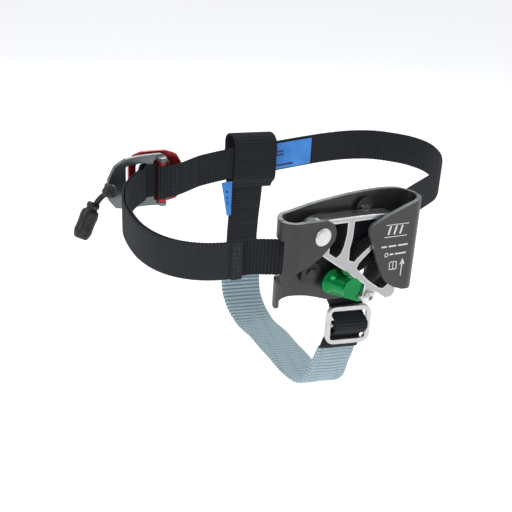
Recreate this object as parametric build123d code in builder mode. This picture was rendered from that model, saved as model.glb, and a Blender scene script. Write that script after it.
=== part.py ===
from build123d import *
import math
import os

# Boot-mounted foot ascender: a bent aluminium body with a toothed rope cam,
# a safety catch, an ankle strap with a two-frame adjusting buckle and a
# stirrup strap that runs under the boot.
# Frame: origin at the centre of the flat rear (boot) face of the body,
# X along the plate (rope channel at +X), +Y towards the leg, +Z up the rope.
# All lengths in millimetres.

os.makedirs("parts", exist_ok=True)

# ---------------------------------------------------------------- dimensions
wall = 3.0             # body sheet
depth = 20.0           # outside depth of the C section
x_left = -54.0         # left U-turn, outside
x_right = 56.5         # right U-turn, outside
r_bend = depth / 2     # outside bend radius
piv_x, piv_z = -28.0, 8.0       # cam pivot axis
pin_r = 3.0            # cam pivot rivet shank
head_r = 6.0           # cam pivot rivet head
bush_r = 3.9           # bush outside radius
run = 0.05             # running clearance, radial
cam_y0, cam_y1 = -16.6, -7.2    # front and rear faces of the cam
scr_x, scr_z = 17.2, -47.5      # catch screw axis
scr_r = 2.5            # catch screw shank
web_w = 25.0           # ankle webbing width
web_t = 1.6            # webbing thickness
strap_z = -8.5         # ankle strap centre height
stir_w = 28.0          # stirrup webbing width
rope_max = 13.0        # largest rope


# ---------------------------------------------------------------- helpers
def smooth(points, n=8):
    """Catmull-Rom points through a list of (a, b) pairs."""
    p = [points[0]] + list(points) + [points[-1]]
    out = []
    for i in range(1, len(p) - 2):
        for k in range(n):
            t = k / n
            row = []
            for c in range(2):
                a, b, d, e = p[i - 1][c], p[i][c], p[i + 1][c], p[i + 2][c]
                row.append(0.5 * (2 * b + (d - a) * t
                                  + (2 * a - 5 * b + 4 * d - e) * t * t
                                  + (3 * b - a - 3 * d + e) * t ** 3))
            out.append(tuple(row))
    out.append(tuple(points[-1]))
    return out


def arc_pts(cx, cy, r, a0, a1, n):
    """points on an arc, angles in degrees"""
    return [(cx + r * math.cos(math.radians(a0 + (a1 - a0) * k / n)),
             cy + r * math.sin(math.radians(a0 + (a1 - a0) * k / n))) for k in range(n + 1)]


def resample(pts, step):
    """points at even distance along a polyline, keeping both ends"""
    run_len = [0.0]
    for a, b in zip(pts, pts[1:]):
        run_len.append(run_len[-1] + math.dist(a, b))
    n = max(2, round(run_len[-1] / step))
    out, j = [], 0
    for k in range(n + 1):
        s = run_len[-1] * k / n
        while j < len(run_len) - 2 and run_len[j + 1] < s:
            j += 1
        d = run_len[j + 1] - run_len[j]
        t = (s - run_len[j]) / d if d else 0
        out.append((pts[j][0] + (pts[j + 1][0] - pts[j][0]) * t,
                    pts[j][1] + (pts[j + 1][1] - pts[j][1]) * t))
    return out


def ribbon(pts, off_a, off_b):
    """closed outline of a band that follows pts, between two side offsets"""
    left, right = [], []
    for i, p in enumerate(pts):
        a, b = pts[max(i - 1, 0)], pts[min(i + 1, len(pts) - 1)]
        dx, dy = b[0] - a[0], b[1] - a[1]
        d = math.hypot(dx, dy)
        nx, ny = -dy / d, dx / d
        left.append((p[0] + nx * off_a, p[1] + ny * off_a))
        right.append((p[0] + nx * off_b, p[1] + ny * off_b))
    return left + right[::-1]


def circle_hull(cx, cz, r, a0, a1, n=10):
    return arc_pts(cx, cz, r, a0, a1, n)


def front(y):
    """sketch plane parallel to XZ at a given y, looking along +Y:
    local x is +X, local y is +Z, extruding a positive amount goes to -Y"""
    return Plane(origin=(0, y, 0), x_dir=(1, 0, 0), z_dir=(0, -1, 0))


# ---------------------------------------------------------------- body frame
xc_l, xc_r = x_left + r_bend, x_right - r_bend
keep_front_left = ([(-60, 20.5), (-42, 20.0), (-32, 18.9)]
                   + circle_hull(piv_x, piv_z, 10.6, 86, -50)
                   + smooth([(-23.5, -2.4), (-28.5, -6.4), (-35.7, -9.8), (-43.2, -12.4), (-48.4, -15.5),
                             (-51.6, -21.0), (-53.0, -29.0), (-53.6, -37.0)], 4)
                   + [(-54.4, -41.0), (-60, -41.0)])
keep_front_right = [(60, 17.0), (50, 17.6), (35.2, 14.2), (22.9, 10.8), (13.2, 7.4), (11.2, 5.6),
                    (10.6, 3.0), (11.2, -0.5), (16.8, -13.5), (23.1, -28.0), (26.0, -34.0), (29.5, -39.0),
                    (35.0, -43.2), (43.7, -47.2), (50, -48.2), (60, -48.2)]
keep_rear = ([(-60, 20.5), (-43, 20.8)]
             + smooth([(-36, 21.6), (-24.3, 23.0), (-8, 23.7), (8, 23.9), (25, 23.2), (38, 21.8), (47, 19.9), (52, 18.4), (60, 17.0)], 4)
             + [(60, -48.2), (50, -50.0), (38, -51.4), (22, -52.4), (7, -52.4)]
             + smooth([(4, -52.2), (-6.8, -50.2), (-17, -45.8), (-26.7, -42.2), (-38, -39.6), (-44, -39.8)], 4)
             + [(-46.5, -41.0), (-60, -41.0)])

with BuildPart() as body_frame:
    with BuildSketch(Plane.XY.offset(-60)):
        with Locations(((x_left + x_right) / 2, -r_bend)):
            RectangleRounded(x_right - x_left, depth, r_bend - 0.01)
            RectangleRounded(x_right - x_left - 2 * wall, depth - 2 * wall, r_bend - wall - 0.01, mode=Mode.SUBTRACT)
    extrude(amount=90)
    # everything in the front half that is neither flange is cut away
    with BuildSketch(front(-r_bend)):
        with Locations((0, 0)):
            Rectangle(200, 200)
        with BuildLine():
            Polyline(*keep_front_left, close=True)
        make_face(mode=Mode.SUBTRACT)
        with BuildLine():
            Polyline(*keep_front_right, close=True)
        make_face(mode=Mode.SUBTRACT)
    extrude(amount=20, mode=Mode.SUBTRACT)
    # rear half outline
    with BuildSketch(front(5)):
        with Locations((0, 0)):
            Rectangle(200, 200)
        with BuildLine():
            Polyline(*keep_rear, close=True)
        make_face(mode=Mode.SUBTRACT)
    extrude(amount=5 + r_bend, mode=Mode.SUBTRACT)
    # ankle strap slot through the left U-turn
    with BuildSketch(Plane.XY.offset(-21.6)):
        with BuildLine():
            Polyline((-62, -14.4), (-48.5, -14.4), (-48.5, -9.0), (-44.4, -5.2), (-44.4, 3), (-62, 3), close=True)
        make_face()
    extrude(amount=29.4, mode=Mode.SUBTRACT)
    # ankle strap slot in the rear wall, near the rope channel
    with BuildSketch(front(1)):
        with Locations((28.1, strap_z)):
            RectangleRounded(12.4, web_w + 1.6, 2.5)
    extrude(amount=6, mode=Mode.SUBTRACT)
    # stirrup strap slot in the rear wall
    with BuildSketch(front(1)):
        with Locations((10.4, -35.4)):
            RectangleRounded(stir_w + 2.0, 11.4, 2.5)
    extrude(amount=6, mode=Mode.SUBTRACT)
    # cam pivot: hole in both walls, countersunk at the rear
    with BuildSketch(front(1)):
        with Locations((piv_x, piv_z)):
            Circle(pin_r + run)
    extrude(amount=25, mode=Mode.SUBTRACT)
    with BuildSketch(Plane(origin=(piv_x, 0, piv_z), x_dir=(1, 0, 0), z_dir=(0, -1, 0))):
        Circle(pin_r + 2.1)
    extrude(amount=2.05, taper=45, mode=Mode.SUBTRACT)
    # rivet holes
    with BuildSketch(front(1)):
        with Locations((16.0, 12.8), (-24.0, -25.0), (31.5, -27.0)):
            Circle(2.05)
    extrude(amount=6, mode=Mode.SUBTRACT)
body_frame.part.label = "body_frame"
print("body", body_frame.part.volume, len(body_frame.part.solids()), body_frame.part.bounding_box())

# ---------------------------------------------------------------- cam pivot
with BuildPart() as cam_pivot_pin:
    with BuildSketch(Plane.XY):
        with BuildLine():
            Polyline((0, -21.7), (3.6, -21.6), (5.2, -21.3), (head_r, -20.7), (head_r, -20.02), (pin_r, -20.02),
                     (pin_r, -2.0), (pin_r + 1.6, -0.4), (pin_r + 1.6, -0.25), (0, -0.25), close=True)
        make_face()
    revolve(axis=Axis.Y)
cam_pivot_pin.part.label = "cam_pivot_pin"
pivot_pin_solid = Pos(piv_x, 0, piv_z) * cam_pivot_pin.part
pivot_pin_solid.label = "cam_pivot_pin"


def ring(x, z, r_in, r_out, y_front, y_rear):
    """plain ring about an axis along Y"""
    with BuildPart() as r:
        with BuildSketch(front(y_rear)):
            with Locations((x, z)):
                Circle(r_out)
                Circle(r_in, mode=Mode.SUBTRACT)
        extrude(amount=y_rear - y_front)
    return r.part


with BuildPart() as cam_bush:
    with BuildSketch(front(-3.05)):
        with Locations((piv_x, piv_z)):
            Circle(bush_r)
            Circle(pin_r + run, mode=Mode.SUBTRACT)
    extrude(amount=13.9)
cam_bush.part.label = "cam_bush"

with BuildPart() as pivot_washer_front:
    with BuildSketch(front(-16.65)):
        with Locations((piv_x, piv_z)):
            Circle(7.5)
            Circle(bush_r + 0.08, mode=Mode.SUBTRACT)
    extrude(amount=0.3)
pivot_washer_front.part.label = "pivot_washer_front"

with BuildPart() as pivot_washer_rear:
    with BuildSketch(front(-6.85)):
        with Locations((piv_x, piv_z)):
            Circle(7.5)
            Circle(bush_r + 0.08, mode=Mode.SUBTRACT)
    extrude(amount=0.3)
pivot_washer_rear.part.label = "pivot_washer_rear"

# torsion spring behind the hub
spring_wire = 0.42
with BuildPart() as cam_spring:
    with BuildLine():
        coil = Helix(pitch=0.95, height=0.95, radius=5.4, center=(piv_x, -6.3, piv_z), direction=(0, 1, 0))
    with BuildSketch(Plane(origin=coil @ 0, z_dir=coil % 0)):
        Circle(spring_wire)
    sweep()
cam_spring.part.label = "cam_spring"

# ---------------------------------------------------------------- cam
# front-view outline: hub, upper bar, toothed arc, lower bar
arc_ctrl = [(33.5, 8.6), (38.6, 1.5), (42.6, -7.0), (44.6, -16.5), (44.6, -26.5), (42.8, -36.0), (40.6, -44.0)]
arc_line = resample(smooth(arc_ctrl, 8), 1.55)
tooth = []
for i, (a, b) in enumerate(zip(arc_line, arc_line[1:])):
    tooth.append(a)
    dx, dz = b[0] - a[0], b[1] - a[1]
    d = math.hypot(dx, dz)
    # each tooth leans down the rope
    tooth.append((a[0] + dx * 0.72 - dz / d * 1.1, a[1] + dz * 0.72 + dx / d * 1.1))
tooth.append(arc_line[-1])
cam_outline = ([(-25.0, 17.1), (0.0, 14.9), (14.0, 13.4), (30.5, 10.6)] + tooth
               + [(40.4, -50.5), (38.2, -53.0), (33.0, -53.2), (29.6, -50.6), (22.0, -44.6),
                  (13.8, -38.2), (-7.5, -21.3), (-23.8, -8.2), (-34.8, 1.6)])
win_1 = [(-18.4, 13.0), (-6.0, 11.8), (-6.0, 4.0), (-7.4, -3.6), (-9.8, -9.4), (-13.2, -11.6), (-19.2, -7.0)]
win_2 = [(-0.6, 11.4), (14.0, 9.8), (28.4, 7.9), (31.4, 3.6), (34.4, -1.0), (17.2, -7.4), (8.4, -13.0), (2.0, -18.0),
         (-2.4, -16.0), (-2.6, -8.0), (-1.0, 0.0)]
win_3 = [(4.6, -23.4), (6.4, -19.9), (17.9, -10.8), (35.8, -3.8), (38.6, -13.0), (39.0, -24.0), (37.0, -34.5), (33.8, -41.8),
         (30.0, -44.6), (26.0, -43.2), (15.4, -34.6)]

with BuildPart() as cam:
    with BuildSketch(front(cam_y1)):
        with BuildLine():
            Polyline(*cam_outline, close=True)
        make_face()
        with Locations((piv_x, piv_z)):
            Circle(9.6)
        with Locations((scr_x, scr_z)):
            Circle(5.2)
        with BuildLine():
            Polyline((12.4, -46.0), (13.4, -37.0), (23.4, -45.0), (21.6, -50.2), close=True)
        make_face()
    extrude(amount=cam_y1 - cam_y0)
    # windows between the bars
    for win in (win_1, win_2, win_3):
        with BuildSketch(front(cam_y1 + 1)):
            with BuildLine():
                Polyline(*win, close=True)
            f = make_face()
            fillet(f.vertices(), 0.7)
        extrude(amount=12, mode=Mode.SUBTRACT)
    # pivot bore
    with BuildSketch(front(cam_y1 + 1)):
        with Locations((piv_x, piv_z)):
            Circle(bush_r + run)
    extrude(amount=12, mode=Mode.SUBTRACT)
    # relief for the catch lever behind the boss
    with BuildSketch(front(cam_y1 + 1)):
        with Locations((scr_x, scr_z)):
            Circle(8.6)
        with BuildLine():
            Polyline((20.4, -39.0), (4.0, -28.6), (-5.0, -22.4), (-5.0, -60.0), (20.4, -60.0), close=True)
        make_face()
    extrude(amount=1 + 2.6, mode=Mode.SUBTRACT)
    # screw bore and the catch spring's seat
    with BuildSketch(front(cam_y1 + 1)):
        with Locations((scr_x, scr_z)):
            Circle(scr_r + 0.03)
    extrude(amount=12, mode=Mode.SUBTRACT)
    with BuildSketch(front(cam_y1 - 2.6)):
        with Locations((scr_x, scr_z)):
            Circle(4.3)
            Circle(scr_r + 0.03, mode=Mode.SUBTRACT)
    extrude(amount=1.6, mode=Mode.SUBTRACT)
    # spring leg notch in the hub
    with BuildSketch(front(cam_y1 + 1)):
        with Locations((piv_x + 7.4, piv_z + 6.6)):
            Rectangle(4.2, 1.8, rotation=-8)
    extrude(amount=5.0, mode=Mode.SUBTRACT)
cam.part.label = "cam"
print("cam", cam.part.volume, len(cam.part.solids()))

# ---------------------------------------------------------------- safety catch
knob_base = (-8.0, -33.0)
with BuildPart() as safety_catch:
    # lever plate behind the boss
    with BuildSketch(front(-7.4)):
        with BuildLine():
            Polyline(*(circle_hull(scr_x, scr_z, 7.2, 62, -118, 14)
                       + circle_hull(-8.0, -33.0, 8.9, 242, 62, 18)), close=True)
        make_face()
        with Locations((scr_x, scr_z)):
            Circle(scr_r + 0.06, mode=Mode.SUBTRACT)
    extrude(amount=2.3)
    # counterbore for the retaining clip
    with BuildSketch(front(-7.3)):
        with Locations((scr_x, scr_z)):
            Circle(4.7)
    extrude(amount=1.3, mode=Mode.SUBTRACT)
    # flared thumb knob
    with BuildSketch(Plane(origin=(-8.0, -9.7, -33.0), x_dir=(1, 0, 0), z_dir=(0, -1, 0))):
        Circle(8.6)
    with BuildSketch(Plane(origin=(-6.9, -11.6, -33.1), x_dir=(1, 0, 0), z_dir=(0, -1, 0))):
        Circle(7.2)
    with BuildSketch(Plane(origin=(-5.7, -14.0, -33.2), x_dir=(1, 0, 0), z_dir=(0, -1, 0))):
        Circle(6.6)
    with BuildSketch(Plane(origin=(-2.4, -22.0, -33.5), x_dir=(1, 0, 0), z_dir=(0, -1, 0))):
        Circle(6.6)
    loft(ruled=True)
    # end disc of the knob
    with BuildSketch(front(-21.6)):
        with Locations((-2.4, -33.5)):
            Circle(7.0)
    extrude(amount=1.0)
safety_catch.part.label = "safety_catch"
print("catch", safety_catch.part.volume, len(safety_catch.part.solids()))

# button-head screw that carries the catch
with BuildPart() as catch_screw_raw:
    with BuildSketch(Plane.XY):
        with BuildLine():
            Polyline((0, -19.6), (2.2, -19.5), (3.4, -19.0), (4.1, -18.1), (4.3, -16.95), (scr_r, -16.95),
                     (scr_r, -8.25), (2.1, -8.25), (2.1, -7.6), (scr_r, -7.6), (scr_r, -7.45), (0, -7.45), close=True)
        make_face()
    revolve(axis=Axis.Y)
    with BuildSketch(Plane(origin=(0, -21, 0), x_dir=(1, 0, 0), z_dir=(0, 1, 0))):
        RegularPolygon(1.75, 6)
    extrude(amount=3.4, mode=Mode.SUBTRACT)
catch_screw = Pos(scr_x, 0, scr_z) * catch_screw_raw.part
catch_screw.label = "catch_screw"

with BuildPart() as catch_washer:
    with BuildSketch(front(-16.62)):
        with Locations((scr_x, scr_z)):
            Circle(5.0)
            Circle(scr_r + 0.05, mode=Mode.SUBTRACT)
    extrude(amount=0.3)
catch_washer.part.label = "catch_washer"

with BuildPart() as catch_clip:
    with BuildSketch(front(-7.62)):
        with Locations((scr_x, scr_z)):
            Circle(4.3)
            Circle(2.15, mode=Mode.SUBTRACT)
        with Locations((scr_x, scr_z - 3.2)):
            Rectangle(3.2, 3.4, mode=Mode.SUBTRACT)
    extrude(amount=0.6)
catch_clip.part.label = "catch_clip"

with BuildPart() as catch_spring:
    with BuildLine():
        coil2 = Helix(pitch=0.72, height=0.72, radius=3.4, center=(scr_x, -10.95, scr_z), direction=(0, 1, 0))
    with BuildSketch(Plane(origin=coil2 @ 0, z_dir=coil2 % 0)):
        Circle(0.32)
    sweep()
catch_spring.part.label = "catch_spring"

# ---------------------------------------------------------------- rivets and strap guides
guide_at = [(16.0, 12.8, 7.6), (-24.0, -25.0, 7.8), (31.5, -27.0, 5.8)]
with BuildPart() as strap_guides:
    for gx, gz, gr in guide_at:
        with BuildSketch(front(-3.03)):
            with Locations((gx, gz)):
                Circle(3.8)
                Circle(2.05, mode=Mode.SUBTRACT)
        extrude(amount=2.0)
        with BuildSketch(front(-4.95)):
            with Locations((gx, gz)):
                Circle(gr)
                Circle(2.05, mode=Mode.SUBTRACT)
        extrude(amount=0.9)
strap_guides.part.label = "strap_guides"

with BuildPart() as strap_rivets:
    for gx, gz, gr in guide_at:
        with BuildSketch(front(-0.3)):
            with Locations((gx, gz)):
                Circle(2.0)
        extrude(amount=5.6)
        with BuildSketch(front(-5.88)):
            with Locations((gx, gz)):
                Circle(3.9)
        extrude(amount=1.0, taper=35)
strap_rivets.part.label = "strap_rivets"

# ---------------------------------------------------------------- adjusting buckle
arc_cx, arc_cy, arc_r = -75.6, 90.0, 55.0   # arch of the frames
pin_x, pin_y = -56.8, 137.3                 # hinge pin of the two frames
bar_x = -63.9                               # middle of the grey frame's bar
zc = strap_z


def arched(outline, windows, r_in, r_out, cx=arc_cx, cy=arc_cy):
    """plate bent on a cylinder about Z, with an outline seen along Y"""
    with BuildPart() as p:
        with BuildSketch(Plane.XY.offset(zc - 25)):
            with Locations((cx, cy)):
                Circle(r_out)
                Circle(r_in, mode=Mode.SUBTRACT)
        extrude(amount=50)
        with BuildSketch(front(arc_cy + 70)):
            with BuildLine():
                Polyline(*outline, close=True)
            face = make_face()
            fillet(face.vertices(), 3.0)
            for (x0, x1, h) in windows:
                with Locations(((x0 + x1) / 2, zc)):
                    RectangleRounded(x1 - x0, 2 * h, min(2.0, (x1 - x0) / 2 - 0.3), mode=Mode.SUBTRACT)
        extrude(amount=70, mode=Mode.INTERSECT)
    return p.part


def sym(pts):
    return [(x, zc + h) for x, h in pts] + [(x, zc - h) for x, h in pts[::-1]]


grey_plate = arched(sym([(-99.0, 7.5), (-92.5, 16.0), (-83.0, 19.4), (-54.5, 20.2), (-50.5, 13.0)]),
                    [(-83.0, -66.4, 14.0), (-61.4, -53.5, 16.05)], arc_r - 1.2, arc_r + 1.2)
with BuildPart() as buckle_frame_grey:
    add(grey_plate)
    # ears that carry the hinge pin
    for z0 in (zc + 16.1, zc - 18.6):
        with BuildSketch(Plane.XY.offset(z0)):
            with Locations((pin_x, pin_y)):
                Circle(3.1)
            with BuildLine():
                Polyline((pin_x - 3.1, pin_y), (pin_x - 3.1, 142.3), (pin_x + 3.1, 140.2), (pin_x + 3.1, pin_y), close=True)
            make_face()
        extrude(amount=2.5)
    with BuildSketch(Plane.XY.offset(zc - 30)):
        with Locations((pin_x, pin_y)):
            Circle(1.6 + run)
    extrude(amount=60, mode=Mode.SUBTRACT)
    # cord hole
    with BuildSketch(front(arc_cy + 70)):
        with Locations((-95.0, zc + 1.0)):
            Circle(2.0)
    extrude(amount=70, mode=Mode.SUBTRACT)
buckle_frame_grey.part.label = "buckle_frame_grey"
print("grey", buckle_frame_grey.part.volume, len(buckle_frame_grey.part.solids()))

red_plate = arched(sym([(-77.5, 11.0), (-74.0, 18.0), (-67.0, 20.2), (-50.0, 20.2), (-42.5, 17.5), (-38.5, 9.0)]),
                   [(-72.0, -62.5, 11.5)], 75.9, 78.3, cx=-76.0, cy=74.0)
with BuildPart() as buckle_frame_red:
    add(red_plate)
    for z0 in (zc + 13.4, zc - 15.8):
        with BuildSketch(Plane.XY.offset(z0)):
            with Locations((pin_x, pin_y)):
                Circle(2.9)
            with BuildLine():
                Polyline((pin_x - 2.9, pin_y), (-59.2, 141.0), (-59.2, 148.9), (-55.9, 148.3), (-55.9, 141.0), (pin_x + 2.9, pin_y), close=True)
            make_face()
        extrude(amount=2.4)
    with BuildSketch(Plane.XY.offset(zc - 30)):
        with Locations((pin_x, pin_y)):
            Circle(1.6 + run)
    extrude(amount=60, mode=Mode.SUBTRACT)
buckle_frame_red.part.label = "buckle_frame_red"
print("red", buckle_frame_red.part.volume, len(buckle_frame_red.part.solids()))

with BuildPart() as buckle_pin:
    with BuildSketch(Plane.XY.offset(zc - 18.4)):
        with Locations((pin_x, pin_y)):
            Circle(1.6)
    extrude(amount=36.8)
buckle_pin.part.label = "buckle_pin"

# ---------------------------------------------------------------- ankle strap
z_lo = strap_z - web_w / 2


def band(name, outline):
    with BuildPart() as b:
        with BuildSketch(Plane.XY.offset(z_lo)):
            with BuildLine():
                Polyline(*outline, close=True)
            make_face()
        extrude(amount=web_w)
    b.part.label = name
    return b.part


inside_y = -3.95
# bar of the grey frame, in the plane of the arch
bar_y = arc_cy + math.sqrt(arc_r ** 2 - (bar_x - arc_cx) ** 2)
slope = math.atan2(-(bar_x - arc_cx), bar_y - arc_cy)     # tangent direction of the arch
tx, ty = math.cos(slope), math.sin(slope)
nx, ny = -ty, tx
wrap_r = 2.5


def at_bar(a, b):
    return (bar_x + a * tx + b * nx, bar_y + a * ty + b * ny)


left_route = [(-45.4, inside_y), (-48.5, -3.2), (-54.0, -0.4), (-64.0, 4.6), (-79.0, 7.6), (-93.0, 13.6), (-103.5, 22.6),
              (-110.3, 34.0), (-113.6, 48.0), (-113.4, 64.0), (-108.2, 89.0), (-98.0, 111.0), (-88.5, 123.0)]
near_end = (-84.0, 127.6)
strap_near_line = [(-10.0, inside_y), (-28.0, inside_y)] + resample(smooth(left_route + [near_end], 8)[:-1], 3.2)
ankle_strap_near = band("ankle_strap_near", ribbon(strap_near_line, web_t / 2, -web_t / 2))

# the fold round the bar: up the inside, round the bar, back through the left window
wrap_in = smooth([near_end, (-78.0, 132.6), (-71.4, 137.2), at_bar(-3.6, -wrap_r - 1.0), at_bar(-0.8, -wrap_r - 0.25), at_bar(2.0, -wrap_r)], 8)
wrap_arc = [at_bar(2.0 + wrap_r * math.cos(a), wrap_r * math.sin(a))
            for a in [math.radians(-90 + 18 * k) for k in range(1, 10)]]
tail_gap = 2.15
t_dir = (near_end[0] - (-88.5), near_end[1] - 123.0)
t_len = math.hypot(*t_dir)
t_n = (-t_dir[1] / t_len, t_dir[0] / t_len)
tail_start = (near_end[0] + t_n[0] * tail_gap, near_end[1] + t_n[1] * tail_gap)
wrap_out = smooth([at_bar(2.0, wrap_r), at_bar(-2.2, wrap_r + 0.05), at_bar(-6.6, 0.6), (-76.5, 136.6), tail_start], 8)
fold_line = resample(wrap_in + wrap_arc + wrap_out, 0.9)
ankle_strap_fold = band("ankle_strap_fold", ribbon(fold_line, web_t / 2, -web_t / 2))

# free tail, lying on the outside of the strap, with its end folded and sewn
dense = resample(smooth(left_route + [near_end], 8), 3.2)
tail_center = []
for i, p in enumerate(dense):
    a, b = dense[max(i - 1, 0)], dense[min(i + 1, len(dense) - 1)]
    dx, dy = b[0] - a[0], b[1] - a[1]
    d = math.hypot(dx, dy)
    tail_center.append((p[0] - dy / d * tail_gap, p[1] + dx / d * tail_gap))
tail_center = [p for p in tail_center if p[0] < -71.0]
lx, ly = tail_center[-1][0] - tail_center[-2][0], tail_center[-1][1] - tail_center[-2][1]
tail_center[-1] = (tail_center[-1][0] - lx * 0.25, tail_center[-1][1] - ly * 0.25)
ankle_strap_tail = band("ankle_strap_tail", ribbon(tail_center, web_t / 2, -web_t / 2))
hem_line = tail_center[:3]
ankle_strap_hem = band("ankle_strap_hem", ribbon(hem_line, web_t / 2 + 1.55, web_t / 2 + 0.1))

# far side: sewn loop round the hinge pin, round the heel, out of the rear slot
loop_r = 2.55
loop_arc = arc_pts(pin_x, pin_y, loop_r, -22, 262, 20)
far_in = smooth([(pin_x + 0.6, pin_y - loop_r), (-51.5, 134.3), (-45.5, 135.2), (-38.5, 137.2), (-31.0, 139.9), (-22.0, 142.8), (-9.0, 144.4),
                 (6.0, 145.2), (26.0, 145.4), (47.0, 144.2), (70.0, 143.8), (94.0, 142.6), (116.0, 138.6), (134.0, 130.0),
                 (147.0, 116.0), (154.0, 103.0), (156.0, 87.0), (150.0, 69.0), (139.0, 54.0), (125.0, 42.0), (108.0, 34.6),
                 (84.0, 25.6), (60.0, 15.8), (45.0, 9.0), (37.5, 5.4), (33.0, 3.1), (28.2, -0.9), (24.6, -3.3), (21.5, inside_y)], 8)
far_line = resample(loop_arc, 0.9)[:-1] + resample(far_in, 2.4) + [(8.0, inside_y), (-9.9, inside_y)]
ankle_strap_far = band("ankle_strap_far", ribbon(far_line, web_t / 2, -web_t / 2))
for nm, s in (("near", ankle_strap_near), ("fold", ankle_strap_fold), ("tail", ankle_strap_tail), ("far", ankle_strap_far)):
    print(nm, s.volume, len(s.solids()), s.is_valid)

# ---------------------------------------------------------------- stirrup
# The stirrup is drawn in YZ and turned a little about the vertical: its width
# runs along "across". The near leg is centred on near_x, the far leg on far_x.
near_x, far_x, loop_x = 15.4, 22.5, 24.5
turn = math.radians(-19)
across = (math.cos(turn), math.sin(turn), 0)
sole_z = -144.0
sole_y0, sole_y1 = 44.0, 112.0


def strip(outline, x_mid, width, direction=across):
    """band drawn in YZ, extruded across the webbing's width"""
    with BuildPart() as s:
        with BuildSketch(Plane(origin=(x_mid, 0, 0), x_dir=(0, 1, 0), z_dir=(1, 0, 0))):
            with BuildLine():
                Polyline(*outline, close=True)
            make_face()
        extrude(amount=width / 2, dir=direction, both=True)
    return s.part


def sole(width, half_t):
    """the slanting flat run under the foot"""
    a, b = across[0] * width / 2, across[1] * width / 2
    with BuildPart() as s:
        with BuildSketch(Plane.XY.offset(sole_z - half_t)):
            with BuildLine():
                Polyline((near_x - a, sole_y0 - b), (near_x + a, sole_y0 + b),
                         (far_x + a, sole_y1 + b), (far_x - a, sole_y1 - b), close=True)
            make_face()
        extrude(amount=2 * half_t)
    return s.part


bar_yy, bar_z = -1.0, -76.8      # centre of the slide buckle's middle bar
st = 1.6                         # stirrup webbing thickness
far_v = 145.3                    # ankle strap's centre above the far leg

far_leg = resample(smooth([(far_v + 0.4, -31.0), (far_v + 1.6, -44.0), (far_v + 3.4, -60.0), (far_v + 4.6, -80.0), (far_v + 5.0, -98.0),
                           (far_v + 4.2, -113.0), (far_v + 0.6, -127.0), (far_v - 8.0, -137.6), (far_v - 20.0, -143.0),
                           (sole_y1 + 4.0, sole_z)], 8), 2.6) + [(sole_y1 + 2.0, sole_z), (sole_y1, sole_z)]
near_leg_low = [(sole_y0, sole_z), (sole_y0 - 2.0, sole_z)] + resample(
    smooth([(sole_y0 - 4.0, sole_z), (32.0, -142.6), (24.0, -137.0), (18.0, -128.0), (14.0, -116.0), (10.0, -103.0), (6.6, -93.0), (4.5, -88.5)], 8), 2.6)
near_leg_up = resample(smooth([(4.5, -88.5), (3.9, -84.5), (3.0, -81.0), (bar_yy + 2.6, bar_z - 0.6)], 8), 1.0) + \
    arc_pts(bar_yy, bar_z, 2.55, 0, 230, 16)

with BuildPart() as stirrup_webbing:
    add(strip(ribbon(far_leg, st / 2, -st / 2), far_x, 25.6))
    add(sole(25.6, st / 2))
    add(strip(ribbon(near_leg_low, st / 2, -st / 2), near_x, 25.6))
    add(strip(ribbon([near_leg_low[-2]] + near_leg_up, st / 2, -st / 2), near_x, 23.6))

# loop over the ankle strap, wider webbing, sewn to the top of the far leg
loop_pts = (resample(smooth([(far_v - 1.5, -30.0), (far_v - 3.4, -26.4), (far_v - 6.6, -22.4), (far_v - 7.5, -18.0), (far_v - 7.6, -8.0), (far_v - 7.6, 4.6)], 6), 2.5)
            + arc_pts(far_v, 5.5, 7.6, 174, 6, 16)
            + resample(smooth([(far_v + 7.6, 4.6), (far_v + 7.6, -8.0), (far_v + 7.5, -18.0), (far_v + 6.8, -22.4), (far_v + 4.4, -26.4), (far_v + 2.5, -30.0)], 6), 2.5))
stirrup_loop = strip(ribbon(loop_pts, st / 2, -st / 2), loop_x, 33.0)

# tubular sleeve over the webbing, from the side of the foot to near the buckle
i0 = min(range(len(far_leg)), key=lambda i: abs(far_leg[i][1] + 84.0))
i1 = min(range(len(near_leg_low)), key=lambda i: abs(near_leg_low[i][1] + 100.0))
with BuildPart() as stirrup_sleeve:
    add(strip(ribbon(far_leg[i0:], 2.1, -2.1), far_x, 30.6))
    add(sole(30.6, 2.1))
    add(strip(ribbon(near_leg_low[:i1 + 1], 2.1, -2.1), near_x, 30.6))
    add(strip(ribbon(far_leg[i0 - 2:], 1.0, -1.0), far_x, 26.6), mode=Mode.SUBTRACT)
    add(sole(26.6, 1.0), mode=Mode.SUBTRACT)
    add(strip(ribbon(near_leg_low[:i1 + 3], 1.0, -1.0), near_x, 26.6), mode=Mode.SUBTRACT)

# adjusting webbing: sewn inside the body, out of the lower slot, turned to
# meet the slide buckle, over its middle bar and down as a free tail
adj_top = resample(smooth([(-5.75, -9.0), (-5.75, -22.0), (-5.7, -28.2), (-4.4, -31.6), (-0.6, -35.6), (2.6, -38.8),
                           (3.7, -43.0), (3.9, -50.0), (3.8, -59.0)], 8), 1.2)
adj_low = resample(smooth([(3.85, -54.6), (3.6, -58.5), (2.6, -64.0), (1.7, -68.5), (-4.4, -73.0), (-5.4, -75.4), (-5.4, -78.2),
                           (-4.4, -80.6), (-3.4, -82.2), (0.0, -84.6), (2.15, -87.2), (2.1, -92.5), (4.0, -98.0)], 8), 1.2)
with BuildPart() as adjust_strap:
    add(strip(ribbon(adj_top, st / 2, -st / 2), 10.4, 26.0, (1, 0, 0)))
    add(strip(ribbon(adj_low, st / 2, -st / 2), near_x, 23.6))
stirrup_adjust_strap = adjust_strap.part
for nm, s in (("webbing", stirrup_webbing.part), ("loop", stirrup_loop), ("sleeve", stirrup_sleeve.part), ("adj", stirrup_adjust_strap)):
    print(nm, s.volume, len(s.solids()), s.is_valid, s.bounding_box())


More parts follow.
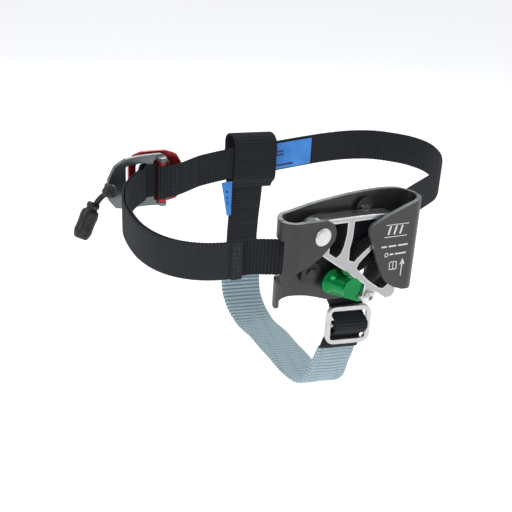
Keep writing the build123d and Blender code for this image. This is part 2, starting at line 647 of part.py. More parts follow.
# steel three-bar slide
def slide_plane(off):
    return Plane(origin=(near_x + off * -math.sin(turn), bar_yy + off * math.cos(turn), bar_z), x_dir=across,
                 z_dir=(math.sin(turn), -math.cos(turn), 0))


with BuildPart() as slide_buckle:
    with BuildSketch(slide_plane(1.5)):
        RectangleRounded(32.0, 30.0, 7.0)
        RectangleRounded(25.2, 23.0, 2.0, mode=Mode.SUBTRACT)
    extrude(amount=3.0)
    with BuildSketch(slide_plane(1.15)):
        Rectangle(27.6, 2.3)
    extrude(amount=2.3)
slide_buckle.part.label = "slide_buckle"
print("slide", slide_buckle.part.volume, len(slide_buckle.part.solids()), slide_buckle.part.bounding_box())

# ---------------------------------------------------------------- label
# folded information label on the inside of the far strap
with BuildPart() as label_tag:
    with BuildSketch(Plane.XY.offset(-19.6)):
        with BuildLine():
            Polyline(*ribbon([(44.5, 143.0), (60.0, 142.4), (80.0, 141.9)], 0.3, -0.3), close=True)
        make_face()
    extrude(amount=22.0)
label_tag.part.label = "label_tag"

with BuildPart() as label_flap:
    with BuildSketch(Plane(origin=(0, 143.4, 0), x_dir=(1, 0, 0), z_dir=(0, -1, 0))):
        with BuildLine():
            Polyline((-2.5, -22.2), (7.3, -22.2), (7.1, -50.0), (3.6, -52.6), close=True)
        make_face()
    extrude(amount=0.6)
label_flap.part.label = "label_flap"

# ---------------------------------------------------------------- pull tab
hole_a = math.atan2(math.sqrt(arc_r ** 2 - (-95.0 - arc_cx) ** 2), -95.0 - arc_cx)
hx, hy, hz = arc_cx + (arc_r - 2.9) * math.cos(hole_a), arc_cy + (arc_r - 2.9) * math.sin(hole_a), zc + 1.0
tab_dir = Vector(-0.508, -0.178, -0.842).normalized()
tab_side = tab_dir.cross(Vector(0, 1, 0)).normalized()
cord_r = 1.25
knot_r = 6.0
knot_c = Vector(-103.2, 128.3, -3.5)
pull_at = Vector(-113.8, 130.4, -12.0)      # where the cord enters the puller
start = Vector(hx, hy, hz)
cord_route = [start, knot_c, pull_at, pull_at + tab_dir * 20.0]
radii = []
for a, b, c in zip(cord_route, cord_route[1:], cord_route[2:]):
    turn = (b - a).get_angle(c - b)
    radii.append(0.45 * min((b - a).length, (c - b).length) / math.tan(math.radians(turn) / 2))
print("cord radii", [round(r, 1) for r in radii])
with BuildPart() as pull_cord:
    with BuildLine():
        route = FilletPolyline(*cord_route, radius=radii)
    with BuildSketch(Plane(origin=route @ 0, z_dir=route % 0)):
        Circle(cord_r)
    sweep()
pull_cord.part.label = "pull_cord"
print("cord length", route.length, "volume", pull_cord.part.volume, math.pi * cord_r ** 2 * route.length)

with BuildPart() as cord_knot:
    with Locations(Location(knot_c)):
        Sphere(knot_r)
cord_knot.part.label = "cord_knot"

# moulded puller
pull_plane = Plane(origin=pull_at, x_dir=tab_side, z_dir=tab_dir)
with BuildPart() as cord_puller:
    for off, w, h, r in ((0.0, 8.0, 6.0, 2.0), (5.0, 13.0, 8.0, 2.6), (19.0, 12.6, 8.4, 2.6), (26.4, 9.6, 7.0, 2.2)):
        with BuildSketch(pull_plane.offset(off)):
            RectangleRounded(w, h, r)
    loft(ruled=True)
cord_puller.part.label = "cord_puller"

# ---------------------------------------------------------------- export
pieces = {
    "body_frame": body_frame.part, "cam_pivot_pin": pivot_pin_solid, "cam_bush": cam_bush.part,
    "pivot_washer_front": pivot_washer_front.part, "pivot_washer_rear": pivot_washer_rear.part, "cam_spring": cam_spring.part,
    "cam": cam.part, "safety_catch": safety_catch.part, "catch_screw": catch_screw, "catch_washer": catch_washer.part,
    "catch_clip": catch_clip.part, "catch_spring": catch_spring.part, "strap_guides": strap_guides.part,
    "strap_rivets": strap_rivets.part, "buckle_frame_grey": buckle_frame_grey.part, "buckle_frame_red": buckle_frame_red.part,
    "buckle_pin": buckle_pin.part, "ankle_strap_near": ankle_strap_near, "ankle_strap_fold": ankle_strap_fold,
    "ankle_strap_tail": ankle_strap_tail, "ankle_strap_hem": ankle_strap_hem, "ankle_strap_far": ankle_strap_far,
    "stirrup_webbing": stirrup_webbing.part, "stirrup_loop": stirrup_loop, "stirrup_sleeve": stirrup_sleeve.part,
    "stirrup_adjust_strap": stirrup_adjust_strap, "slide_buckle": slide_buckle.part, "label_tag": label_tag.part,
    "label_flap": label_flap.part, "pull_cord": pull_cord.part, "cord_knot": cord_knot.part, "cord_puller": cord_puller.part,
}
for piece_name, piece in pieces.items():
    piece.label = piece_name
    export_step(piece, "parts/" + piece_name + ".step")
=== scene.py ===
import bpy
import math
import random
import numpy as np
from mathutils import Vector, Matrix


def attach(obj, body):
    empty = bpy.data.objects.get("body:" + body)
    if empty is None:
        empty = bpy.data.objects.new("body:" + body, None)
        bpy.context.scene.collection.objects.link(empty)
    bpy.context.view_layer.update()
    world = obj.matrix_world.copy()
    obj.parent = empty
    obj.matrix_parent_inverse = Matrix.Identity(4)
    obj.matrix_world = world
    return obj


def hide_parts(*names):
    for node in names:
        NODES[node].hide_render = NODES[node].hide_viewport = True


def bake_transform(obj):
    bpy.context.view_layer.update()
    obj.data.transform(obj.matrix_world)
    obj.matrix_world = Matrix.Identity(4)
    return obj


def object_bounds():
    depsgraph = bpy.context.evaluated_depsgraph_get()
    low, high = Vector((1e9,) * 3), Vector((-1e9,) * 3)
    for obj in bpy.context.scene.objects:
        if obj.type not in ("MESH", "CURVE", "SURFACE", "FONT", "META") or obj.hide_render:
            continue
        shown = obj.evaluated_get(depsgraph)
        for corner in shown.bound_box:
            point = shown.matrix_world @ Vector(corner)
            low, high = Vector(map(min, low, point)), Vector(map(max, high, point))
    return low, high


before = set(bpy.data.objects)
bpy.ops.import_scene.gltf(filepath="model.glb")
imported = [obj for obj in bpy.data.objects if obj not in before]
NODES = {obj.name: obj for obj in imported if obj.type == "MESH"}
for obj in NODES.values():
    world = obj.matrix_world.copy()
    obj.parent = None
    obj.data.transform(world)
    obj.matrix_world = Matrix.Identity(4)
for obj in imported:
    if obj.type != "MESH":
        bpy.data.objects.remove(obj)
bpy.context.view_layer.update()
MM = 0.001
scene = bpy.context.scene

# ---------------------------------------------------------------- camera
az, el, roll = math.radians(-34), math.radians(27), math.radians(3)
back = Vector((math.sin(az) * math.cos(el), -math.cos(az) * math.cos(el), math.sin(el)))
right = Vector((math.cos(az), math.sin(az), 0))
up = back.cross(right)
r2 = right * math.cos(roll) + up * math.sin(roll)
u2 = up * math.cos(roll) - right * math.sin(roll)
cam_data = bpy.data.cameras.new("camera")
cam_data.sensor_width = 36
cam_data.lens = 950 / 512 * 36
cam_data.clip_start = 0.01
cam_data.clip_end = 20
camera = bpy.data.objects.new("camera", cam_data)
scene.collection.objects.link(camera)
rot = Matrix((r2, u2, back)).transposed().to_4x4()
camera.matrix_world = Matrix.Translation((-0.3566, -0.4346, 0.2613)) @ rot
scene.camera = camera


# ---------------------------------------------------------------- node helpers
class Mat:
    def __init__(self, name):
        self.m = bpy.data.materials.new(name)
        self.m.use_nodes = True
        self.t = self.m.node_tree
        self.t.nodes.clear()
        self.out = self.t.nodes.new("ShaderNodeOutputMaterial")
        self.b = self.t.nodes.new("ShaderNodeBsdfPrincipled")
        self.t.links.new(self.b.outputs[0], self.out.inputs[0])

    def n(self, kind, **kw):
        node = self.t.nodes.new("ShaderNode" + kind)
        for k, v in kw.items():
            setattr(node, k, v)
        return node

    def link(self, a, b):
        self.t.links.new(a, b)

    def put(self, name, v):
        s = self.b.inputs[name]
        if hasattr(v, "is_linked"):
            self.link(v, s)
        elif isinstance(v, (tuple, list)):
            s.default_value = tuple(v) + (1.0,) if len(v) == 3 else v
        else:
            s.default_value = v

    def feed(self, sock, v):
        if hasattr(v, "is_linked"):
            self.link(v, sock)
        elif isinstance(v, (tuple, list)):
            sock.default_value = (tuple(v) + (1.0,)) if len(v) == 3 and len(sock.default_value) == 4 else v
        else:
            sock.default_value = v

    def math(self, op, a, b=0.0, c=0.0, clamp=False):
        q = self.n("Math", operation=op)
        q.use_clamp = clamp
        self.feed(q.inputs[0], a)
        self.feed(q.inputs[1], b)
        if len(q.inputs) > 2:
            self.feed(q.inputs[2], c)
        return q.outputs[0]

    def mix(self, f, a, b):
        q = self.n("Mix", data_type="RGBA")
        self.feed(q.inputs[0], f)
        self.feed(q.inputs[6], a)
        self.feed(q.inputs[7], b)
        return q.outputs[2]

    def ramp(self, f, lo, hi, a=0.0, b=1.0):
        q = self.n("MapRange")
        q.interpolation_type = "SMOOTHSTEP"
        self.feed(q.inputs[0], f)
        for i, v in ((1, lo), (2, hi), (3, a), (4, b)):
            q.inputs[i].default_value = v
        return q.outputs[0]

    def obj(self):
        return self.n("TexCoord").outputs["Object"]

    def uv(self):
        q = self.n("UVMap")
        q.uv_map = "strap"
        return q.outputs[0]

    def xyz(self, v):
        q = self.n("SeparateXYZ")
        self.link(v, q.inputs[0])
        return q.outputs

    def noise(self, scale, detail=3.0, rough=0.55, vec=None, stretch=None):
        q = self.n("TexNoise")
        v = vec if vec is not None else self.obj()
        if stretch:
            mp = self.n("Mapping")
            mp.inputs["Scale"].default_value = stretch
            self.link(v, mp.inputs["Vector"])
            v = mp.outputs[0]
        self.link(v, q.inputs["Vector"])
        q.inputs["Scale"].default_value = scale
        q.inputs["Detail"].default_value = detail
        q.inputs["Roughness"].default_value = rough
        return q.outputs["Fac"]

    def bump(self, height, strength, dist, under=None):
        q = self.n("Bump")
        q.inputs["Strength"].default_value = strength
        q.inputs["Distance"].default_value = dist
        self.feed(q.inputs["Height"], height)
        if under is not None:
            self.link(under, q.inputs["Normal"])
        self.link(q.outputs[0], self.b.inputs["Normal"])
        return q.outputs[0]

    def rounded(self, radius):
        """normal with every hard edge eased by radius, in metres"""
        q = self.n("Bevel")
        q.samples = 6
        q.inputs["Radius"].default_value = radius
        return q.outputs[0]

    def edge(self, radius=0.0007, lo=0.02, hi=0.16):
        """1 along hard edges, 0 on open faces"""
        g = self.n("NewGeometry")
        q = self.n("VectorMath", operation="DOT_PRODUCT")
        self.link(self.rounded(radius), q.inputs[0])
        self.link(g.outputs["Normal"], q.inputs[1])
        return self.ramp(self.math("SUBTRACT", 1.0, q.outputs["Value"]), lo, hi)


def anodised(name, base, light, rough=0.34, metallic=0.75):
    m = Mat(name)
    cloud = m.noise(60, 4)
    fine = m.noise(2600, 2)
    # paler toward the light colour along every hard edge: painted edge highlight
    painted_edge_highlight = m.edge(0.0005)
    tone = m.mix(m.ramp(cloud, 0.35, 0.7), tuple(c * 0.88 for c in base), tuple(c * 1.12 for c in base))
    m.put("Base Color", m.mix(m.math("MULTIPLY", painted_edge_highlight, 0.7), tone, light))
    m.put("Metallic", metallic)
    m.put("Roughness", m.math("ADD", m.math("MULTIPLY", cloud, 0.16), m.math("ADD", m.math("MULTIPLY", fine, 0.10), rough - 0.13)))
    m.put("Coat Weight", 0.12)
    m.put("Coat Roughness", 0.25)
    m.bump(fine, 0.10, 0.00006, under=m.rounded(0.0006))
    return m


def body_material():
    """bent sheet: dark satin anodising, paler on the cut edges, and with a painted highlight along every hard edge"""
    m = Mat("body_anodised")
    g = m.n("NewGeometry")
    nx, ny, nz = m.xyz(m.n("TexCoord").outputs["Normal"])
    px, py, pz = m.xyz(m.obj())
    cut_z = m.ramp(m.math("ABSOLUTE", nz), 0.22, 0.55)
    flat = m.ramp(m.math("ABSOLUTE", px), 0.0505, 0.0465, 0.0, 1.0)
    cut_x = m.math("MULTIPLY", m.ramp(m.math("ABSOLUTE", nx), 0.35, 0.7), m.ramp(m.math("ABSOLUTE", m.math("ADD", px, -0.001)), 0.0470, 0.0430))
    cut = m.math("MAXIMUM", cut_z, cut_x)
    cloud = m.noise(38, 5)
    brushed = m.noise(420, 3, vec=None, stretch=(0.15, 1.0, 6.0))
    fine = m.noise(3000, 2)
    tone = m.mix(m.ramp(cloud, 0.3, 0.7), (0.040, 0.038, 0.036), (0.054, 0.051, 0.048))
    cut_colour_and_edge_highlight = m.mix(m.ramp(m.noise(300, 3), 0.3, 0.75), (0.16, 0.185, 0.20), (0.26, 0.295, 0.31))
    # paler along every hard edge: painted edge highlight; the cut faces' paler colour is their own
    painted_edge_highlight = m.math("MULTIPLY", m.edge(0.0006), 0.40)
    m.put("Base Color", m.mix(m.math("MAXIMUM", m.math("MULTIPLY", cut, 0.85), painted_edge_highlight), tone, cut_colour_and_edge_highlight))
    m.put("Metallic", 0.55)
    m.put("Roughness", m.math("ADD", m.math("MULTIPLY", brushed, 0.12), m.math("ADD", m.math("MULTIPLY", cloud, 0.14), 0.29)))
    m.put("Coat Weight", 0.15)
    m.put("Coat Roughness", 0.3)
    m.bump(m.math("ADD", m.math("MULTIPLY", fine, 0.6), m.math("MULTIPLY", brushed, 0.5)), 0.12, 0.00006, under=m.rounded(0.0007))
    return m


def steel(name, base, rough, grain=0.1, dark=0.6, rim=0.0):
    m = Mat(name)
    cloud = m.noise(90, 5)
    fine = m.noise(1900, 3)
    lines = m.noise(600, 3, stretch=(8.0, 1.0, 0.4))
    smear = m.ramp(cloud, 0.3, 0.75)
    tone = m.mix(smear, tuple(c * dark for c in base), base)
    # when rim is set the colour darkens along hard edges: painted shade on the edges
    if rim:
        tone = m.mix(m.edge(rim, 0.004, 0.05), tuple(c * 0.50 for c in base), tone)
    m.put("Base Color", tone)
    m.put("Metallic", 0.96)
    m.put("Roughness", m.math("ADD", m.math("MULTIPLY", cloud, 0.14), m.math("ADD", m.math("MULTIPLY", lines, 0.08), rough - 0.1)))
    m.bump(m.math("ADD", fine, m.math("MULTIPLY", lines, 0.6)), grain, 0.00008, under=m.rounded(0.0007))
    return m


def webbing_material(name, dark, light, pitch, rough=0.78, sheen=0.35, weft=0.62, painted_rib_shade=0.28):
    """woven tape: UV runs in millimetres along (u) and across (v)"""
    m = Mat(name)
    u, v, _ = m.xyz(m.uv())
    wu = m.math("SINE", m.math("MULTIPLY", u, 2 * math.pi / pitch))
    yarn = m.math("SINE", m.math("MULTIPLY", v, 2 * math.pi / weft))
    half = m.math("SINE", m.math("ADD", m.math("MULTIPLY", v, math.pi / weft), m.math("MULTIPLY", u, 2 * math.pi / pitch)))
    vec = m.n("CombineXYZ")
    m.link(u, vec.inputs[0])
    m.link(v, vec.inputs[1])
    fuzz = m.noise(4.0, 4, vec=vec.outputs[0])
    slub = m.noise(0.35, 3, vec=vec.outputs[0])
    edge = m.ramp(m.math("ABSOLUTE", v), 10.8, 12.3)
    height = m.math("ADD", m.math("MULTIPLY", yarn, 0.35), m.math("ADD", m.math("MULTIPLY", half, 0.35), m.math("MULTIPLY", fuzz, 0.9)))
    # the rib term paints light and shade across each rib; the twill and slub terms are the weave's own tone
    painted_rib_shade_and_weave = m.math("ADD", m.math("MULTIPLY", m.math("ADD", wu, 1.0), painted_rib_shade), m.math("ADD", m.math("MULTIPLY", m.math("ADD", half, 1.0), 0.14), m.math("MULTIPLY", slub, 0.35)), clamp=True)
    m.put("Base Color", m.mix(painted_rib_shade_and_weave, dark, light))
    m.put("Roughness", m.math("ADD", m.math("MULTIPLY", fuzz, 0.2), rough - 0.1))
    m.put("Sheen Weight", sheen * 0.35)
    m.put("Sheen Roughness", 0.5)
    m.put("Sheen Tint", tuple(min(1, c * 6 + 0.2) for c in light))
    m.put("Specular IOR Level", 0.22)
    m.bump(height, 0.55, 0.00016)
    return m


def cloth_label(name, dark, light):
    m = Mat(name)
    x, y, z = m.xyz(m.obj())
    w = m.math("MULTIPLY", m.math("SINE", m.math("MULTIPLY", x, 9000.0)), m.math("SINE", m.math("MULTIPLY", z, 9000.0)))
    cloud = m.noise(70, 4)
    m.put("Base Color", m.mix(m.ramp(cloud, 0.3, 0.75), dark, light))
    m.put("Roughness", m.math("ADD", m.math("MULTIPLY", cloud, 0.2), 0.38))
    m.put("Sheen Weight", 0.15)
    m.bump(m.math("ADD", w, m.math("MULTIPLY", cloud, 1.5)), 0.35, 0.00008)
    return m


def moulded(name, base, light, rough=0.42, grain=0.35):
    m = Mat(name)
    cloud = m.noise(120, 4)
    fine = m.n("TexVoronoi")
    fine.inputs["Scale"].default_value = 1500
    m.link(m.obj(), fine.inputs["Vector"])
    m.put("Base Color", m.mix(m.ramp(cloud, 0.35, 0.7), base, light))
    m.put("Roughness", m.math("ADD", m.math("MULTIPLY", cloud, 0.2), rough - 0.1))
    m.put("Specular IOR Level", 0.5)
    m.bump(m.math("ADD", fine.outputs["Distance"], cloud), grain, 0.00007)
    return m


def braid(name, dark, light, radius=1.15):
    """braided sheath: two sets of crossing yarns in object space"""
    m = Mat(name)
    x, y, z = m.xyz(m.obj())
    a = m.math("SINE", m.math("MULTIPLY", m.math("ADD", z, m.math("MULTIPLY", x, 0.9)), 5200.0))
    b = m.math("SINE", m.math("MULTIPLY", m.math("SUBTRACT", z, m.math("MULTIPLY", x, 0.9)), 5200.0))
    h = m.math("MAXIMUM", a, b)
    cloud = m.noise(240, 4)
    # darker in the hollows between yarns, lighter on their crowns: painted shade and light
    m.put("Base Color", m.mix(m.math("MULTIPLY", m.math("ADD", h, 1.0), 0.5), dark, light))
    m.put("Roughness", m.math("ADD", m.math("MULTIPLY", cloud, 0.3), 0.5))
    m.put("Sheen Weight", 0.25)
    m.bump(m.math("ADD", h, cloud), 0.6, 0.00016)
    return m


M = {
    "body": body_material(),
    # cam: rim darkens its edges, painted shade
    "cam": steel("cam_polished", (0.82, 0.82, 0.82), 0.20, grain=0.14, dark=0.78, rim=0.0018),
    "rivet": steel("rivet_turned", (0.80, 0.80, 0.79), 0.38, grain=0.10, dark=0.85),
    "spring": steel("spring_wire", (0.42, 0.42, 0.43), 0.30),
    "bush": steel("bush_bronze", (0.55, 0.38, 0.18), 0.32),
    "slide": steel("slide_polished", (0.64, 0.64, 0.625), 0.28, grain=0.10, dark=0.84),
    # anodised parts: the second, lighter colour is the painted highlight along their edges
    "green": anodised("catch_green", (0.0, 0.235, 0.055), (0.02, 0.46, 0.16), rough=0.34, metallic=0.85),
    "grey": anodised("buckle_grey", (0.17, 0.19, 0.195), (0.62, 0.68, 0.68), rough=0.32, metallic=0.7),
    "red": anodised("buckle_red", (0.36, 0.016, 0.022), (0.85, 0.20, 0.19), rough=0.30, metallic=0.6),
    "guide": moulded("guide_black", (0.009, 0.009, 0.010), (0.016, 0.016, 0.018), 0.45),
    "black_rivet": moulded("rivet_black", (0.006, 0.006, 0.007), (0.012, 0.012, 0.013), 0.22, grain=0.1),
    "puller": moulded("puller_black", (0.010, 0.010, 0.012), (0.022, 0.022, 0.025), 0.42),
    # webbing and sleeve: dark sits in the rib grooves and light on the ribs, painted shade and light, besides the
    # weave's own tone
    "ankle": webbing_material("ankle_weave", (0.0040, 0.0048, 0.0065), (0.022, 0.025, 0.031), 2.3),
    "tail": webbing_material("tail_weave", (0.0075, 0.0090, 0.0115), (0.030, 0.034, 0.041), 0.95, weft=0.5),
    "stirrup": webbing_material("stirrup_weave", (0.0040, 0.0048, 0.0062), (0.022, 0.025, 0.030), 2.0),
    "sleeve": webbing_material("sleeve_weave", (0.030, 0.065, 0.090), (0.47, 0.60, 0.66), 3.3, rough=0.55, sheen=0.1, weft=0.7, painted_rib_shade=0.34),
    "thread": moulded("thread", (0.035, 0.040, 0.048), (0.075, 0.085, 0.095), 0.6),
    "thread_grey": moulded("thread_grey", (0.20, 0.24, 0.27), (0.34, 0.40, 0.43), 0.6),
    "label": cloth_label("label_blue", (0.020, 0.215, 0.70), (0.040, 0.330, 0.88)),
    "ink": moulded("ink_dark", (0.006, 0.012, 0.06), (0.010, 0.020, 0.09), 0.5),
    "print": moulded("print_white", (0.70, 0.70, 0.69), (0.84, 0.84, 0.82), 0.5, grain=0.1),
    "cord": braid("cord_braid", (0.004, 0.004, 0.005), (0.030, 0.031, 0.034)),
}


# ---------------------------------------------------------------- geometry helpers
def smooth(points, n=8):
    p = [points[0]] + list(points) + [points[-1]]
    out = []
    for i in range(1, len(p) - 2):
        for k in range(n):
            t = k / n
            out.append(tuple(0.5 * (2 * p[i][c] + (p[i + 1][c] - p[i - 1][c]) * t
                                    + (2 * p[i - 1][c] - 5 * p[i][c] + 4 * p[i + 1][c] - p[i + 2][c]) * t * t
                                    + (3 * p[i][c] - p[i - 1][c] - 3 * p[i + 1][c] + p[i + 2][c]) * t ** 3) for c in range(len(points[0]))))
    out.append(tuple(points[-1]))
    return out


def arc_pts(cx, cy, r, a0, a1, n):
    return [(cx + r * math.cos(math.radians(a0 + (a1 - a0) * k / n)),
             cy + r * math.sin(math.radians(a0 + (a1 - a0) * k / n))) for k in range(n + 1)]


def along(pts, step):
    """even points along a 2-D line, and their distance from its start"""
    p = np.array(pts, float)
    d = np.r_[0, np.cumsum(np.hypot(*np.diff(p, axis=0).T))]
    keep = np.r_[True, np.diff(d) > 1e-9]
    p, d = p[keep], d[keep]
    n = max(3, int(round(d[-1] / step)))
    s = np.linspace(0, d[-1], n + 1)
    return np.c_[np.interp(s, d, p[:, 0]), np.interp(s, d, p[:, 1])], s


def make_mesh(name, verts, faces, mat, body, uv=None, smooth_shade=True):
    me = bpy.data.meshes.new(name)
    me.from_pydata([tuple(map(float, v)) for v in verts], [], faces)
    me.update()
    if uv is not None:
        layer = me.uv_layers.new(name="strap")
        idx = np.zeros(len(me.loops), np.int32)
        me.loops.foreach_get("vertex_index", idx)
        layer.data.foreach_set("uv", np.asarray(uv, np.float32)[idx].ravel())
    me.polygons.foreach_set("use_smooth", [smooth_shade] * len(me.polygons))
    me.materials.append(mat.m)
    ob = bpy.data.objects.new(name, me)
    scene.collection.objects.link(ob)
    if body:
        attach(ob, body)
    return ob


def band(name, pts, width, half, plane, mid, pitch, depth, body, mat, step=None, wobble=0.0, seed=1,
         xmid=None, soft_window=5, pucker=0.0, width_of=None, ride=True, bend=None):
    """ribbed webbing that follows a line, with rounded selvedges and moulded ribs"""
    rng = np.random.default_rng(seed)
    step = step or pitch / 6.0
    P, s = along(pts, step)
    k = np.ones(soft_window) / soft_window
    T = np.gradient(P, axis=0)
    for c in (0, 1):
        T[:, c] = np.convolve(np.pad(T[:, c], soft_window // 2, mode="edge"), k, "valid")
    T /= np.linalg.norm(T, axis=1)[:, None]
    N = np.c_[-T[:, 1], T[:, 0]]
    W = width / 2
    inner = np.linspace(-W + half, W - half, 15)
    ang = np.radians([-60, -30, 0, 30, 60])
    top = [(x, half, 1.0) for x in inner]
    rgt = [(W - half + half * math.cos(a), half * math.sin(a), 0.35) for a in ang[::-1]]
    bot = [(x, -half, 1.0) for x in inner[::-1]]
    lft = [(-W + half - half * math.cos(a), half * math.sin(a), 0.35) for a in ang]
    prof = np.array(top + rgt + bot + lft)
    m = len(prof)
    rib_id = np.floor(s / pitch).astype(int)
    amp = 1 + 0.22 * (rng.random(rib_id.max() + 2) - 0.5)
    n = len(s)
    phase = wobble * np.sin(prof[:, 0][None, :] * 0.33 + s[:, None] * 0.045 + seed) + 0.5 * wobble * np.sin(prof[:, 0][None, :] * 0.9 + s[:, None] * 0.21)
    rib = np.power(0.5 + 0.5 * np.cos(2 * math.pi * (s[:, None] / pitch + phase)), 0.75) - 0.5
    rib *= amp[rib_id][:, None]
    sign = np.where(prof[:, 1] >= 0, 1.0, -1.0)
    H = prof[:, 1][None, :] + sign[None, :] * depth * rib * prof[:, 2][None, :]
    side = np.where(np.abs(prof[:, 0]) > W - half * 1.01, np.sign(prof[:, 0]), 0.0)
    X = prof[:, 0][None, :] + side[None, :] * 0.13 * np.cos(2 * math.pi * s[:, None] / pitch)
    if pucker:
        H = H + pucker * (np.sin(s * 0.19 + seed)[:, None] * np.sin(prof[:, 0] * 0.22 + 1.3)[None, :])
    if width_of is not None:
        X = X * width_of(s, s[-1])[:, None]
    mids = np.full(n, float(mid)) if xmid is None else xmid(P, s)
    A = P[:, 0][:, None] + N[:, 0][:, None] * H
    B = P[:, 1][:, None] + N[:, 1][:, None] * H
    C = mids[:, None] + X
    V = np.stack((A, B, C), -1) if plane == "XY" else np.stack((C, A, B), -1)
    if bend is not None:
        V = bend(V, P, s)
    V = V.reshape(-1, 3) * MM
    uv = np.stack((np.repeat(s, m), np.tile(prof[:, 0], n)), -1)
    faces = []
    flip = plane == "XY"
    for i in range(n - 1):
        a = i * m
        for j in range(m):
            q = (a + j, a + (j + 1) % m, a + m + (j + 1) % m, a + m + j)
            faces.append(q if not flip else q[::-1])
    c0, c1 = tuple(range(m)), tuple(range((n - 1) * m, n * m))
    faces.append(c0[::-1] if not flip else c0)
    faces.append(c1 if not flip else c1[::-1])
    ob = make_mesh(name, V, faces, mat, body if ride else None, uv=uv)
    return ob


def stitches(name, rows, body, mat, radius=0.22, length=2.0, gap=0.9):
    """rows of sewn stitches; each row is (list of 3-D points in mm, outward normal)"""
    verts, faces = [], []
    for pts, nrm in rows:
        p = np.array(pts, float)
        d = np.r_[0, np.cumsum(np.linalg.norm(np.diff(p, axis=0), axis=1))]
        nrm = np.array(nrm, float) / np.linalg.norm(nrm)
        count = max(1, int(d[-1] // (length + gap)))
        for q in range(count):
            s0 = (q + 0.5) * d[-1] / count - length / 2
            base = len(verts)
            rings = 7
            for r in range(rings):
                t = r / (rings - 1)
                s = s0 + t * length
                c = np.array([np.interp(s, d, p[:, k]) for k in range(3)])
                ahead = np.array([np.interp(min(s + 0.2, d[-1]), d, p[:, k]) - np.interp(max(s - 0.2, 0), d, p[:, k]) for k in range(3)])
                ahead /= np.linalg.norm(ahead)
                sd = np.cross(ahead, nrm)
                lift = radius * 1.2 * math.sin(math.pi * t) - radius * 0.6
                rr = radius * (0.35 + 0.65 * math.sin(math.pi * min(max(t, 0.08), 0.92)))
                for k in range(6):
                    a = k * math.pi / 3
                    verts.append((c + nrm * (lift + rr * math.sin(a)) + sd * rr * math.cos(a)) * MM)
            for r in range(rings - 1):
                for k in range(6):
                    faces.append((base + r * 6 + k, base + r * 6 + (k + 1) % 6, base + (r + 1) * 6 + (k + 1) % 6, base + (r + 1) * 6 + k))
            faces.append(tuple(base + k for k in range(6))[::-1])
            faces.append(tuple(base + (rings - 1) * 6 + k for k in range(6)))
    return make_mesh(name, verts, faces, mat, body)


def tube(name, pts, radius, body, mat, sides=12, closed=False, ride=True):
    p = np.array(pts, float)
    n = len(p)
    T = (np.roll(p, -1, 0) - np.roll(p, 1, 0)) if closed else np.gradient(p, axis=0)
    T /= np.linalg.norm(T, axis=1)[:, None]
    ref = np.array((0.0, 0.0, 1.0)) if abs(T[0][2]) < 0.9 else np.array((1.0, 0.0, 0.0))
    nrm = np.cross(T[0], ref)
    nrm /= np.linalg.norm(nrm)
    frames = [nrm]
    for i in range(1, n):
        v = frames[-1] - T[i] * np.dot(frames[-1], T[i])
        frames.append(v / np.linalg.norm(v))
    verts, faces = [], []
    for i in range(n):
        bn = np.cross(T[i], frames[i])
        for k in range(sides):
            a = 2 * math.pi * k / sides
            verts.append((p[i] + radius * (frames[i] * math.cos(a) + bn * math.sin(a))) * MM)
    for i in range(n if closed else n - 1):
        j = (i + 1) % n
        for k in range(sides):
            faces.append((i * sides + k, i * sides + (k + 1) % sides, j * sides + (k + 1) % sides, j * sides + k))
    if not closed:
        faces.append(tuple(range(sides))[::-1])
        faces.append(tuple(range((n - 1) * sides, n * sides)))
    return make_mesh(name, verts, faces, mat, body if ride else None)


# ---------------------------------------------------------------- pull cord
arc_cx, arc_cy, arc_r = -75.6, 90.0, 55.0
strap_z = -8.5
t_dir = Vector((-0.508, -0.178, -0.842)).normalized()
t_side = t_dir.cross(Vector((0, 1, 0))).normalized()
t_out = t_dir.cross(t_side).normalized()
knot_c = Vector((-103.2, 128.3, -3.5))
pull_at = Vector((-113.8, 130.4, -12.0))
route = [Vector((-93.982, 138.750, -7.5)), knot_c, pull_at, pull_at + t_dir * 20.0]


def cord_strand(name, offset, start_shift):
    pts = [p + offset for p in route]
    pts[0] = route[0] + start_shift
    cu = bpy.data.curves.new(name, "CURVE")
    cu.dimensions = "3D"
    cu.bevel_depth = 1.15 * MM
    cu.bevel_resolution = 5
    cu.resolution_u = 24
    cu.use_fill_caps = True
    sp = cu.splines.new("NURBS")
    sp.points.add(len(pts) - 1)
    for q, p in zip(sp.points, pts):
        q.co = (p.x * MM, p.y * MM, p.z * MM, 1.0)
    sp.order_u = 3
    sp.use_endpoint_u = True
    cu.materials.append(M["cord"].m)
    ob = bpy.data.objects.new(name, cu)
    scene.collection.objects.link(ob)
    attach(ob, "tab_body")
    length = sum((b - a).length for a, b in zip(pts, pts[1:]))
    return ob, pts[0] * MM, length


strand_a, exit_a, run_a = cord_strand("pull_cord_strand", t_side * 1.2, Vector((0, 0, 1.0)))
strand_b, exit_b, run_b = cord_strand("pull_cord_strand_back", t_side * -1.2 + t_out * 0.3, Vector((0, 0, -1.0)))
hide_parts("pull_cord")

